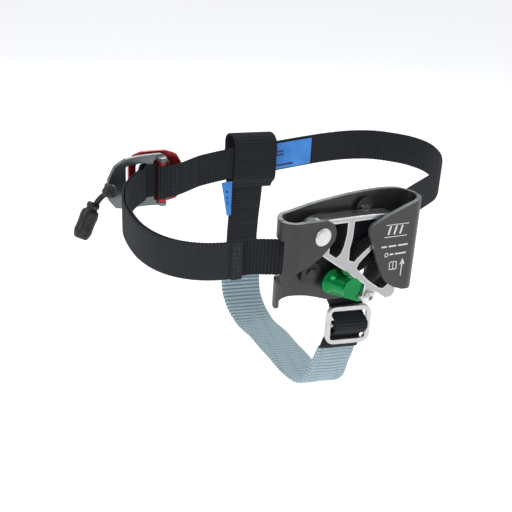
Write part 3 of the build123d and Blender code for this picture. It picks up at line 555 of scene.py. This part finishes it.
# bulky overhand knot: a trefoil of doubled cord
knot_pts = []
for k in range(96):
    t = 2 * math.pi * k / 96
    a, b, c = math.sin(t) + 2 * math.sin(2 * t), math.cos(t) - 2 * math.cos(2 * t), -math.sin(3 * t)
    knot_pts.append(knot_c + t_side * (a * 1.50) + t_out * (b * 1.30) + t_dir * (c * 2.6 + 0.3 * a))
knot = tube("cord_knot_trefoil", [tuple(p) for p in knot_pts], 1.55, None, M["cord"], sides=12, closed=True, ride=False)
knot2 = []
for k in range(96):
    t = 2 * math.pi * k / 96
    a, b, c = math.sin(t) + 2 * math.sin(2 * t), math.cos(t) - 2 * math.cos(2 * t), -math.sin(3 * t)
    knot2.append(knot_c + t_side * (a * 0.95) + t_out * (b * 0.85) + t_dir * (c * 2.2 + 1.6))
knot_b = tube("cord_knot_inner", [tuple(p) for p in knot2], 1.35, None, M["cord"], sides=12, closed=True, ride=False)
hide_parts("cord_knot")
for o in (knot, knot_b):
    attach(o, "tab_body")

# loop of cord through the frame's hole and round its rim
ring_c = Vector((-97.4, 139.6, -7.5))
rn = Vector((-0.353, 0.936, 0))
rt = Vector((0.936, 0.353, 0))
ring = []
for k in range(40):
    a = 2 * math.pi * k / 40
    ring.append(tuple(ring_c + rt * (3.35 * math.cos(a)) + rn * (3.0 * math.sin(a)) + Vector((0, 0, 0.9 * math.sin(a)))))
loop_piece = tube("cord_rim_loop", ring, 1.05, "grey_body", M["cord"], sides=12, closed=True)

# moulded puller: waisted body, slot groove and flared end
sections = [(-0.5, 3.4, 2.6), (0.6, 4.3, 3.1), (2.6, 4.5, 3.2), (3.6, 4.0, 2.7), (4.6, 4.0, 2.7), (5.8, 5.6, 3.5), (8.5, 6.3, 3.95), (14.0, 6.15, 3.9),
            (18.0, 6.05, 3.95), (20.8, 6.2, 4.1), (23.6, 5.6, 3.9), (25.3, 4.9, 3.5), (26.2, 4.2, 3.0), (26.4, 3.0, 2.0)]
base_p = pull_at
pv, pf = [], []
ns = 32
fine_sections = smooth([tuple(map(float, q)) for q in sections], 4)
for (z, w, h) in fine_sections:
    for k in range(ns):
        a = 2 * math.pi * k / ns
        cxx, sxx = math.cos(a), math.sin(a)
        e = 0.62
        x = w * math.copysign(abs(cxx) ** e, cxx)
        y = h * math.copysign(abs(sxx) ** e, sxx)
        groove = math.exp(-((x / 1.15) ** 4)) * (1 / (1 + math.exp(-(z - 8.0) * 2))) * (1 / (1 + math.exp((z - 24.0) * 2)))
        y -= math.copysign(0.9 * groove, y) if abs(sxx) > 0.3 else 0
        rib = 0.16 * math.cos(z * 2.6) * (1 if 9 < z < 23 else 0) * (1 - groove)
        x += math.copysign(rib, x) if abs(cxx) > 0.5 else 0
        pv.append((base_p + t_dir * z + t_side * x + t_out * y) * MM)
for i in range(len(fine_sections) - 1):
    for k in range(ns):
        pf.append((i * ns + k, (i + 1) * ns + k, (i + 1) * ns + (k + 1) % ns, i * ns + (k + 1) % ns))
pf.append(tuple(range(ns)))
pf.append(tuple(range((len(fine_sections) - 1) * ns, len(fine_sections) * ns))[::-1])
puller = make_mesh("cord_puller_moulding", pv, pf, M["puller"], "tab_body")
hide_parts("cord_puller")

# ---------------------------------------------------------------- CAD nodes: finish
finish = {
    "body_frame": "body", "cam_pivot_pin": "rivet", "cam_bush": "bush", "pivot_washer_front": "rivet", "pivot_washer_rear": "rivet",
    "cam_spring": "spring", "cam": "cam", "safety_catch": "green", "catch_screw": "rivet", "catch_washer": "rivet", "catch_clip": "spring",
    "catch_spring": "spring", "strap_guides": "guide", "strap_rivets": "black_rivet", "buckle_frame_grey": "grey",
    "buckle_frame_red": "red", "buckle_pin": "rivet", "slide_buckle": "slide",
}
bevels = {"cam_pivot_pin": (0.35, 40), "catch_screw": (0.22, 40), "strap_guides": (0.3, 40)}
for node, key in finish.items():
    ob = NODES[node]
    if not ob.material_slots:
        ob.data.materials.append(M[key].m)
    for sl in ob.material_slots:
        sl.material = M[key].m
    if node in bevels:
        w, ang = bevels[node]
        weld = ob.modifiers.new("weld", "WELD")
        weld.merge_threshold = 0.00001
        flat = ob.modifiers.new("planar", "DECIMATE")
        flat.decimate_type = "DISSOLVE"
        flat.angle_limit = math.radians(0.7)
        bv = ob.modifiers.new("bevel", "BEVEL")
        bv.width = w * MM
        bv.segments = 3
        bv.limit_method = "ANGLE"
        bv.angle_limit = math.radians(ang)
        bv.use_clamp_overlap = True
        bv.harden_normals = False
        ob.data.normals_split_custom_set([(0, 0, 0)] * len(ob.data.loops))
        ob.data.polygons.foreach_set("use_smooth", [True] * len(ob.data.polygons))
        wn = ob.modifiers.new("normals", "WEIGHTED_NORMAL")
        wn.keep_sharp = False
        wn.weight = 70
        wn.mode = "FACE_AREA_WITH_ANGLE"

# ---------------------------------------------------------------- ankle strap
inside_y = -3.95
web_w = 25.0
pin_x, pin_y = -56.8, 137.3
bar_x = -63.9
bar_y = arc_cy + math.sqrt(arc_r ** 2 - (bar_x - arc_cx) ** 2)
slope = math.atan2(-(bar_x - arc_cx), bar_y - arc_cy)
tx, ty = math.cos(slope), math.sin(slope)
bnx, bny = -ty, tx
wrap_r = 2.5


def at_bar(a, b):
    return (bar_x + a * tx + b * bnx, bar_y + a * ty + b * bny)


left_route = [(-45.4, inside_y), (-48.5, -3.2), (-54.0, -0.4), (-64.0, 4.6), (-79.0, 7.6), (-93.0, 13.6), (-103.5, 22.6),
              (-110.3, 34.0), (-113.6, 48.0), (-113.4, 64.0), (-108.2, 89.0), (-98.0, 111.0), (-88.5, 123.0)]
near_end = (-84.0, 127.6)
near_line = [(-10.0, inside_y), (-28.0, inside_y)] + smooth(left_route + [near_end], 8)
near = band("ankle_webbing_near", near_line, web_w, 0.62, "XY", strap_z, 2.3, 0.36, "frame", M["ankle"], seed=3)
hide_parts("ankle_strap_near")

dx, dy = near_end[0] + 88.5, near_end[1] - 123.0
dl = math.hypot(dx, dy)
tail_gap = 2.15
tail_start = (near_end[0] - dy / dl * tail_gap, near_end[1] + dx / dl * tail_gap)
wrap_in = smooth([near_end, (-78.0, 132.6), (-71.4, 137.2), at_bar(-3.6, -wrap_r - 1.0), at_bar(-0.8, -wrap_r - 0.25), at_bar(2.0, -wrap_r)], 8)
wrap_arc = [at_bar(2.0 + wrap_r * math.cos(a), wrap_r * math.sin(a)) for a in [math.radians(-90 + 18 * k) for k in range(1, 10)]]
wrap_out = smooth([at_bar(2.0, wrap_r), at_bar(-2.2, wrap_r + 0.05), at_bar(-6.6, 0.6), (-76.5, 136.6), tail_start], 8)
fold = band("ankle_webbing_fold", wrap_in + wrap_arc + wrap_out, web_w, 0.62, "XY", strap_z, 2.3, 0.26, None, M["ankle"], seed=4, ride=False)
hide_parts("ankle_strap_fold")
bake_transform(fold)

dense, _ = along(smooth(left_route + [near_end], 8), 3.2)
tail_line = []
for i in range(len(dense)):
    a, b = dense[max(i - 1, 0)], dense[min(i + 1, len(dense) - 1)]
    ex, ey = b - a
    d = math.hypot(ex, ey)
    tail_line.append((dense[i][0] - ey / d * tail_gap, dense[i][1] + ex / d * tail_gap))
tail_line = [p for p in tail_line if p[0] < -71.0]
tail_line[-1] = tail_start
tail_fine = smooth(tail_line, 6)
tail = band("ankle_webbing_tail", tail_fine, web_w, 0.66, "XY", strap_z, 0.95, 0.12, "frame", M["tail"], step=0.32, seed=5)
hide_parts("ankle_strap_tail")

# hem: the tail's end folded over and sewn down
hem_n = []
hem_src = tail_fine[:22]
P0, s0 = along(hem_src, 1.0)
keep = s0 <= 6.2
P0 = P0[keep]
T0 = np.gradient(P0, axis=0)
T0 /= np.linalg.norm(T0, axis=1)[:, None]
N0 = np.c_[-T0[:, 1], T0[:, 0]]
hem_line = [tuple(p + q * 1.50) for p, q in zip(P0, N0)]
front_end = tuple(P0[0] + N0[0] * 0.75 - T0[0] * 0.85)
hem_side = 1.0
hem = band("ankle_webbing_hem", [tuple(P0[0] + N0[0] * 0.2 - T0[0] * 0.45), front_end, tuple(P0[0] + N0[0] * 1.25 - T0[0] * 0.55)] + hem_line, web_w, 0.62, "XY", strap_z, 0.95, 0.10,
           "frame", M["tail"], step=0.32, seed=6)
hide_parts("ankle_strap_hem")
rows = []
for off in (1.6, 4.8):
    i = int(off)
    f = off - i
    p = P0[i] * (1 - f) + P0[i + 1] * f
    nn = N0[i]
    q = p + nn * (1.50 + 0.74)
    rows.append(([(q[0], q[1], strap_z - 11), (q[0], q[1], strap_z + 11)], (nn[0], nn[1], 0)))
a0, a1 = P0[1] + N0[1] * 2.22, P0[5] + N0[5] * 2.22
rows.append(([(a0[0], a0[1], strap_z - 10.5), (a1[0], a1[1], strap_z + 10.5)], (N0[3][0], N0[3][1], 0)))
rows.append(([(a0[0], a0[1], strap_z + 10.5), (a1[0], a1[1], strap_z - 10.5)], (N0[3][0], N0[3][1], 0)))
stitches("hem_stitching", rows, "frame", M["thread"])

# right-hand part, round the heel
loop_r = 2.55
loop_arc = arc_pts(pin_x, pin_y, loop_r, -22, 262, 24)
far_in = smooth([(pin_x + 0.6, pin_y - loop_r), (-51.5, 134.3), (-45.5, 135.2), (-38.5, 137.2), (-31.0, 139.9), (-22.0, 142.8), (-9.0, 144.4),
                 (6.0, 145.2), (26.0, 145.4), (47.0, 144.2), (70.0, 143.8), (94.0, 142.6), (116.0, 138.6), (134.0, 130.0),
                 (147.0, 116.0), (154.0, 103.0), (156.0, 87.0), (150.0, 69.0), (139.0, 54.0), (125.0, 42.0), (108.0, 34.6),
                 (84.0, 25.6), (60.0, 15.8), (45.0, 9.0), (37.5, 5.4), (33.0, 3.1), (28.2, -0.9), (24.6, -3.3), (21.5, inside_y)], 8)
far_line = loop_arc[:-1] + far_in + [(8.0, inside_y), (-9.9, inside_y)]
far = band("ankle_webbing_far", far_line, web_w, 0.62, "XY", strap_z, 2.3, 0.36, "frame", M["ankle"], seed=7)
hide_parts("ankle_strap_far")

# doubled layer sewn down beside the pin, on the strap's inner face
dbl_src, dbl_s = along(far_in, 1.0)
sel = [i for i in range(len(dbl_src)) if 5.0 < dbl_s[i] < 34.0]
Dp = dbl_src[sel]
Dt = np.gradient(Dp, axis=0)
Dt /= np.linalg.norm(Dt, axis=1)[:, None]
Dn = np.c_[-Dt[:, 1], Dt[:, 0]]
rows = []
for i in (2, 4, 12, 14, 23, 25):
    q = Dp[i] - Dn[i] * 0.74
    rows.append(([(q[0], q[1], strap_z - 10.8), (q[0], q[1], strap_z + 10.8)], (-Dn[i][0], -Dn[i][1], 0)))
stitches("loop_stitching", rows, "frame", M["thread"])

# ---------------------------------------------------------------- stirrup
near_x, far_x, loop_x = 15.4, 22.5, 24.5
turn = math.radians(-19)
sole_z, sole_y0, sole_y1 = -144.0, 44.0, 112.0
bar_yy, bar_z = -1.0, -76.8
far_v = 145.3
far_leg = smooth([(far_v + 0.4, -31.0), (far_v + 1.6, -44.0), (far_v + 3.4, -60.0), (far_v + 4.6, -80.0), (far_v + 5.0, -98.0),
                  (far_v + 4.2, -113.0), (far_v + 0.6, -127.0), (far_v - 8.0, -137.6), (far_v - 20.0, -143.0),
                  (sole_y1 + 4.0, sole_z)], 8) + [(sole_y1, sole_z)]
near_low = [(sole_y0, sole_z), (sole_y0 - 2.0, sole_z)] + smooth([(sole_y0 - 4.0, sole_z), (32.0, -142.6), (24.0, -137.0), (18.0, -128.0), (14.0, -116.0), (10.0, -103.0), (6.6, -93.0), (4.5, -88.5)], 8)
near_up = smooth([(4.5, -88.5), (3.9, -84.5), (3.0, -81.0), (bar_yy + 2.6, bar_z - 0.6)], 8)[1:] + arc_pts(bar_yy, bar_z, 2.55, 0, 230, 16)


def turned(x0, angle=turn):
    """twist a drawn band about the vertical: each point's width offset leans in Y"""
    def f(V, P, s):
        a = np.full(len(s), angle) if np.isscalar(angle) else angle(P, s)
        c = (x0(P, s) if callable(x0) else np.full(len(s), float(x0)))[:, None]
        off = V[:, :, 0] - c
        V[:, :, 1] += off * np.sin(a)[:, None]
        V[:, :, 0] = c + off * np.cos(a)[:, None]
        return V
    return f


def slanted(P, s):
    """the band's centre shifts from far_x to near_x along the sole"""
    t = np.clip((sole_y1 + 6 - P[:, 0]) / (sole_y1 - sole_y0 + 12), 0, 1)
    t = t * t * (3 - 2 * t)
    t = np.where((P[:, 1] > -110) & (P[:, 0] > 90), 0, t)
    t = np.where((P[:, 1] > -110) & (P[:, 0] < 90), 1, t)
    return far_x + (near_x - far_x) * t


web = band("stirrup_webbing_inner", far_leg + near_low + near_up, 25.0, 0.62, "YZ", 0, 2.5, 0.34, "frame", M["stirrup"], xmid=slanted, seed=8,
           width_of=lambda s, e: np.interp(e - s, [0, 12, 22], [0.93, 0.93, 1.0]), bend=turned(slanted))
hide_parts("stirrup_webbing")


def in_range(pts, f):
    return [p for p in pts if f(p)]


sl_line = [p for p in far_leg if p[1] < -84.0] + [p for p in near_low if p[1] < -100.0 or p[0] > 20]
sleeve = band("stirrup_sleeve_ribbed", sl_line, 31.6, 1.55, "YZ", 0, 3.3, 0.95, "frame", M["sleeve"], xmid=slanted, wobble=0.12, seed=9, pucker=0.35, step=0.42,
              width_of=lambda s, e: np.interp(s, [0, 12, 60, e - 45, e], [0.98, 1.02, 1.0, 0.96, 0.86]), bend=turned(slanted))
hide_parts("stirrup_sleeve")

loop_line = (smooth([(far_v - 1.5, -30.0), (far_v - 3.4, -26.4), (far_v - 6.6, -22.4), (far_v - 7.5, -18.0), (far_v - 7.6, -8.0), (far_v - 7.6, 4.6)], 6)
             + arc_pts(far_v, 5.5, 7.6, 174, 6, 20)
             + smooth([(far_v + 7.6, 4.6), (far_v + 7.6, -8.0), (far_v + 7.5, -18.0), (far_v + 6.8, -22.4), (far_v + 4.4, -26.4), (far_v + 2.5, -30.0)], 6))
loop = band("stirrup_loop_webbing", loop_line, 33.0, 0.62, "YZ", loop_x, 2.5, 0.42, "frame", M["stirrup"], seed=10, wobble=0.03, bend=turned(loop_x))
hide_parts("stirrup_loop")

adj_line = (smooth([(-5.75, -9.0), (-5.75, -22.0), (-5.7, -28.2), (-4.4, -31.6), (-0.6, -35.6), (2.6, -38.8),
                    (3.7, -43.0), (3.9, -50.0), (3.6, -58.5), (2.6, -64.0), (1.7, -68.5), (-4.4, -73.0), (-5.4, -75.4), (-5.4, -78.2),
                    (-4.4, -80.6), (-3.4, -82.2), (0.0, -84.6), (2.15, -87.2), (2.1, -92.5), (4.0, -98.0)], 8))


def adj_mid(P, s):
    t = np.clip((-50.0 - P[:, 1]) / 14.0, 0, 1)
    return 10.4 + (near_x - 10.4) * t * t * (3 - 2 * t)


def adj_turn(P, s):
    t = np.clip((-50.0 - P[:, 1]) / 14.0, 0, 1)
    return turn * t * t * (3 - 2 * t)


adj = band("stirrup_adjust_webbing", adj_line, 25.0, 0.62, "YZ", 0, 2.4, 0.34, "frame", M["stirrup"], xmid=adj_mid, seed=11,
           width_of=lambda s, e: np.interp(e - s, [0, 34, 48], [0.93, 0.93, 1.02]), bend=turned(adj_mid, adj_turn))
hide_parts("stirrup_adjust_strap")

rows = []
ct, sn = math.cos(turn), math.sin(turn)
for z, x0 in ((-28.2, loop_x), (-29.4, loop_x), (-46.0, far_x), (-48.0, far_x), (-62.0, far_x), (-64.0, far_x)):
    y = float(np.interp(-z, [28.2, 29.4, 46.0, 64.0], [far_v - 2.9, far_v - 2.3, far_v + 0.85, far_v + 2.8]))
    w = 15 if x0 == loop_x else 11.5
    rows.append(([(x0 - w * ct, y - w * sn, z), (x0 + w * ct, y + w * sn, z)], (sn, -ct, 0)))
stitches("stirrup_stitching", rows, "frame", M["thread"])

# ---------------------------------------------------------------- labels
lab_pts = smooth([(44.5, 143.0), (60.0, 142.4), (80.0, 141.9)], 12)
Pl, sl = along(lab_pts, 0.8)
lv, lf = [], []
Tl = np.gradient(Pl, axis=0)
Tl /= np.linalg.norm(Tl, axis=1)[:, None]
Nl = np.c_[-Tl[:, 1], Tl[:, 0]]
zs = np.linspace(-19.4, 2.2, 16)
for layer_off in (-0.26, 0.26):
    for i in range(len(Pl)):
        for z in zs:
            wave = 0.05 * math.sin(sl[i] * 0.35 + z * 0.2)
            lv.append(((Pl[i][0] + Nl[i][0] * (layer_off + wave)) * MM, (Pl[i][1] + Nl[i][1] * (layer_off + wave)) * MM, z * MM))
nz_, nl_ = len(zs), len(Pl)
g = nz_ * nl_
for i in range(nl_ - 1):
    for j in range(nz_ - 1):
        a = i * nz_ + j
        lf.append((a, a + nz_, a + nz_ + 1, a + 1))
        lf.append((g + a, g + a + 1, g + a + nz_ + 1, g + a + nz_))
for i in range(nl_ - 1):
    a, b = i * nz_, i * nz_ + nz_ - 1
    lf.append((a, g + a, g + a + nz_, a + nz_))
    lf.append((b, b + nz_, g + b + nz_, g + b))
for j in range(nz_ - 1):
    a, b = j, (nl_ - 1) * nz_ + j
    lf.append((a, a + 1, g + a + 1, g + a))
    lf.append((b, g + b, g + b + 1, b + 1))
tag = make_mesh("label_tag_cloth", lv, lf, M["label"], "frame")
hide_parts("label_tag")


def bars(name, items, body, mat):
    """flat printed bars; each is four 3-D corners in mm and a normal along which it stands 0.06 mm proud"""
    v, f = [], []
    for corners, nrm in items:
        nrm = Vector(nrm).normalized()
        b = len(v)
        k = len(corners)
        for c in corners:
            v.append((Vector(c) + nrm * 0.01) * MM)
        for c in corners:
            v.append((Vector(c) + nrm * 0.07) * MM)
        f.append(tuple(b + i for i in range(k)))
        f.append(tuple(b + k + i for i in range(k))[::-1])
        for i in range(k):
            j = (i + 1) % k
            f.append((b + i, b + k + i, b + k + j, b + j))
    ob = make_mesh(name, v, f, mat, body, smooth_shade=False)
    import bmesh
    bm = bmesh.new()
    bm.from_mesh(ob.data)
    bmesh.ops.recalc_face_normals(bm, faces=bm.faces)
    bm.to_mesh(ob.data)
    bm.free()
    return ob


def on_label(x0, x1, z0, z1):
    y0, y1 = (np.interp(x, Pl[:, 0], Pl[:, 1]) - 0.34 for x in (x0, x1))
    return ([(x0, y0, z0), (x1, y1, z0), (x1, y1, z1), (x0, y0, z1)], (0.03, -1, 0))


bars("label_print", [on_label(46.2, 53.4, -5.4, -4.2), on_label(46.2, 53.8, -8.2, -7.0), on_label(46.2, 63.0, -17.0, -15.6)], "frame", M["ink"])

flap_out = [(-2.3, -22.3), (7.1, -22.3), (6.9, -49.8), (3.5, -52.3)]
fv, ff = [], []
nu, nv_ = 10, 26
for off in (-0.27, 0.27):
    for j in range(nv_):
        t = j / (nv_ - 1)
        z = -22.3 - t * 28.7
        xl = np.interp(-z, [22.3, 52.3], [-2.3, 3.5])
        xr = np.interp(-z, [22.3, 49.8], [7.1, 6.9])
        for i in range(nu):
            u = i / (nu - 1)
            fv.append(((xl + (xr - xl) * u) * MM, (143.1 + off + 0.03 * math.sin(t * 9 + u * 2)) * MM, z * MM))
g = nu * nv_
for j in range(nv_ - 1):
    for i in range(nu - 1):
        a = j * nu + i
        ff.append((a, a + nu, a + nu + 1, a + 1))
        ff.append((g + a, g + a + 1, g + a + nu + 1, g + a + nu))
for j in range(nv_ - 1):
    a, b = j * nu, j * nu + nu - 1
    ff.append((a, g + a, g + a + nu, a + nu))
    ff.append((b, b + nu, g + b + nu, g + b))
for i in range(nu - 1):
    a, b = i, (nv_ - 1) * nu + i
    ff.append((a, a + 1, g + a + 1, g + a))
    ff.append((b, g + b, g + b + 1, b + 1))
flap = make_mesh("label_flap_cloth", fv, ff, M["label"], "frame")
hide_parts("label_flap")


def on_flap(x0, x1, z0, z1):
    return ([(x0, 142.78, z0), (x1, 142.78, z0), (x1, 142.78, z1), (x0, 142.78, z1)], (0, -1, 0))


bars("label_flap_print", [on_flap(1.6, 3.6, -31.5, -29.6), on_flap(2.4, 4.0, -36.4, -34.8), on_flap(2.8, 4.2, -41.2, -39.6)], "frame", M["ink"])

# ---------------------------------------------------------------- printed marks on the right flange, generic
face_y = -20.0


def poly(points):
    return ([(x, face_y, z) for x, z in points], (0, -1, 0))


def bar(x0, z0, x1, z1, w):
    d = Vector((x1 - x0, z1 - z0)).normalized()
    n = Vector((-d.y, d.x)) * (w / 2)
    return poly([(x0 + n.x, z0 + n.y), (x1 + n.x, z1 + n.y), (x1 - n.x, z1 - n.y), (x0 - n.x, z0 - n.y)])


items = []
# a plain mark: three slanted bars between two rules
for k in range(3):
    x = 25.6 + k * 5.0
    items.append(bar(x, -2.4 - k * 0.55, x + 1.6, 3.6 - k * 0.55, 1.5))
items.append(bar(23.0, 4.9, 42.5, 2.75, 0.5))
items.append(bar(22.6, -3.7, 42.0, -5.85, 0.5))
# two rows of short dashes
for x0, x1 in ((21.0, 25.4), (27.2, 33.6), (35.4, 43.6)):
    items.append(bar(x0, -10.5 - (x0 - 20.5) * 0.103, x1, -10.5 - (x1 - 20.5) * 0.103, 1.1))
for x0, x1 in ((28.8, 32.0), (33.4, 43.0)):
    items.append(bar(x0, -17.0 - (x0 - 25) * 0.109, x1, -17.0 - (x1 - 25) * 0.109, 1.1))
# ring
ring_items = []
for k in range(16):
    a0_, a1_ = 2 * math.pi * k / 16, 2 * math.pi * (k + 1) / 16
    c = (26.0, -17.2)
    items.append(poly([(c[0] + r * math.cos(a), c[1] + r * math.sin(a)) for r, a in ((1.7, a0_), (1.7, a1_), (1.05, a1_), (1.05, a0_))]))
# open rectangle and up arrow
for a, b in (((29.6, -23.4), (35.6, -24.0)), ((35.6, -24.0), (36.0, -29.6)), ((36.0, -29.6), (30.0, -29.0)), ((30.0, -29.0), (29.6, -23.4)), ((32.6, -23.7), (33.0, -29.3))):
    items.append(bar(a[0], a[1], b[0], b[1], 0.62))
items.append(bar(40.6, -36.0, 40.8, -26.0, 0.8))
items.append(poly([(40.85, -22.9), (38.7, -27.2), (43.0, -27.4)]))
bars("flange_print", items, "frame", M["print"])

# ---------------------------------------------------------------- stage and light
lo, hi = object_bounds()
floor_z = -0.235
bpy.ops.mesh.primitive_plane_add(size=14, location=(0, 0, floor_z))
floor = bpy.context.object
floor.name = "floor"
fm = Mat("floor_pale")
fm.put("Base Color", (0.93, 0.93, 0.93))
fm.put("Roughness", 0.95)
fm.put("Emission Color", (0.97, 0.98, 1.0))
fm.put("Emission Strength", 0.42)
fm.put("Specular IOR Level", 0.1)
floor.data.materials.append(fm.m)

world = bpy.data.worlds.new("studio")
scene.world = world
world.use_nodes = True
bg = world.node_tree.nodes["Background"]
bg.inputs[0].default_value = (0.97, 0.98, 1.0, 1)
bg.inputs[1].default_value = 0.50
wt = world.node_tree
seen = wt.nodes.new("ShaderNodeLightPath")
level = wt.nodes.new("ShaderNodeMapRange")
level.inputs[3].default_value = 0.50
level.inputs[4].default_value = 1.05
wt.links.new(seen.outputs["Is Camera Ray"], level.inputs[0])
wt.links.new(level.outputs[0], bg.inputs[1])


def area(name, loc, target, size, power, colour=(1, 1, 1)):
    d = bpy.data.lights.new(name, "AREA")
    d.shape = "RECTANGLE"
    d.size, d.size_y = size
    d.energy = power
    d.color = colour
    o = bpy.data.objects.new(name, d)
    scene.collection.objects.link(o)
    o.location = loc
    o.rotation_euler = (Vector(target) - Vector(loc)).to_track_quat("-Z", "Y").to_euler()
    return o


centre = (0.0, 0.05, -0.04)
area("key_left", (-0.75, -0.35, 0.75), centre, (0.45, 0.45), 3.4, (1.0, 0.99, 0.97))
area("top_soft", (0.1, 0.2, 1.0), centre, (0.9, 0.7), 3.6)
area("front_right", (0.75, -0.8, 0.35), centre, (0.25, 0.7), 1.6, (0.96, 0.98, 1.0))
area("rim_back", (0.4, 0.9, 0.4), centre, (0.5, 0.3), 1.6)

# dark cards that give the metal something to reflect
dark = Mat("card_dark")
dark.put("Base Color", (0.02, 0.02, 0.022))
dark.put("Roughness", 0.9)
for nm, loc, size in (("card_left", (-0.9, -0.9, 0.05), (0.5, 0.9)), ("card_right", (0.55, -1.15, 0.1), (0.35, 0.9))):
    bpy.ops.mesh.primitive_plane_add(size=1, location=loc)
    card = bpy.context.object
    card.name = nm
    card.scale = (size[0], size[1], 1)
    card.rotation_euler = (Vector(centre) - Vector(loc)).to_track_quat("Z", "Y").to_euler()
    card.data.materials.append(dark.m)
    card.visible_camera = False
    card.visible_diffuse = False
    card.visible_shadow = False

scene.view_settings.view_transform = "Standard"
scene.view_settings.look = "None"
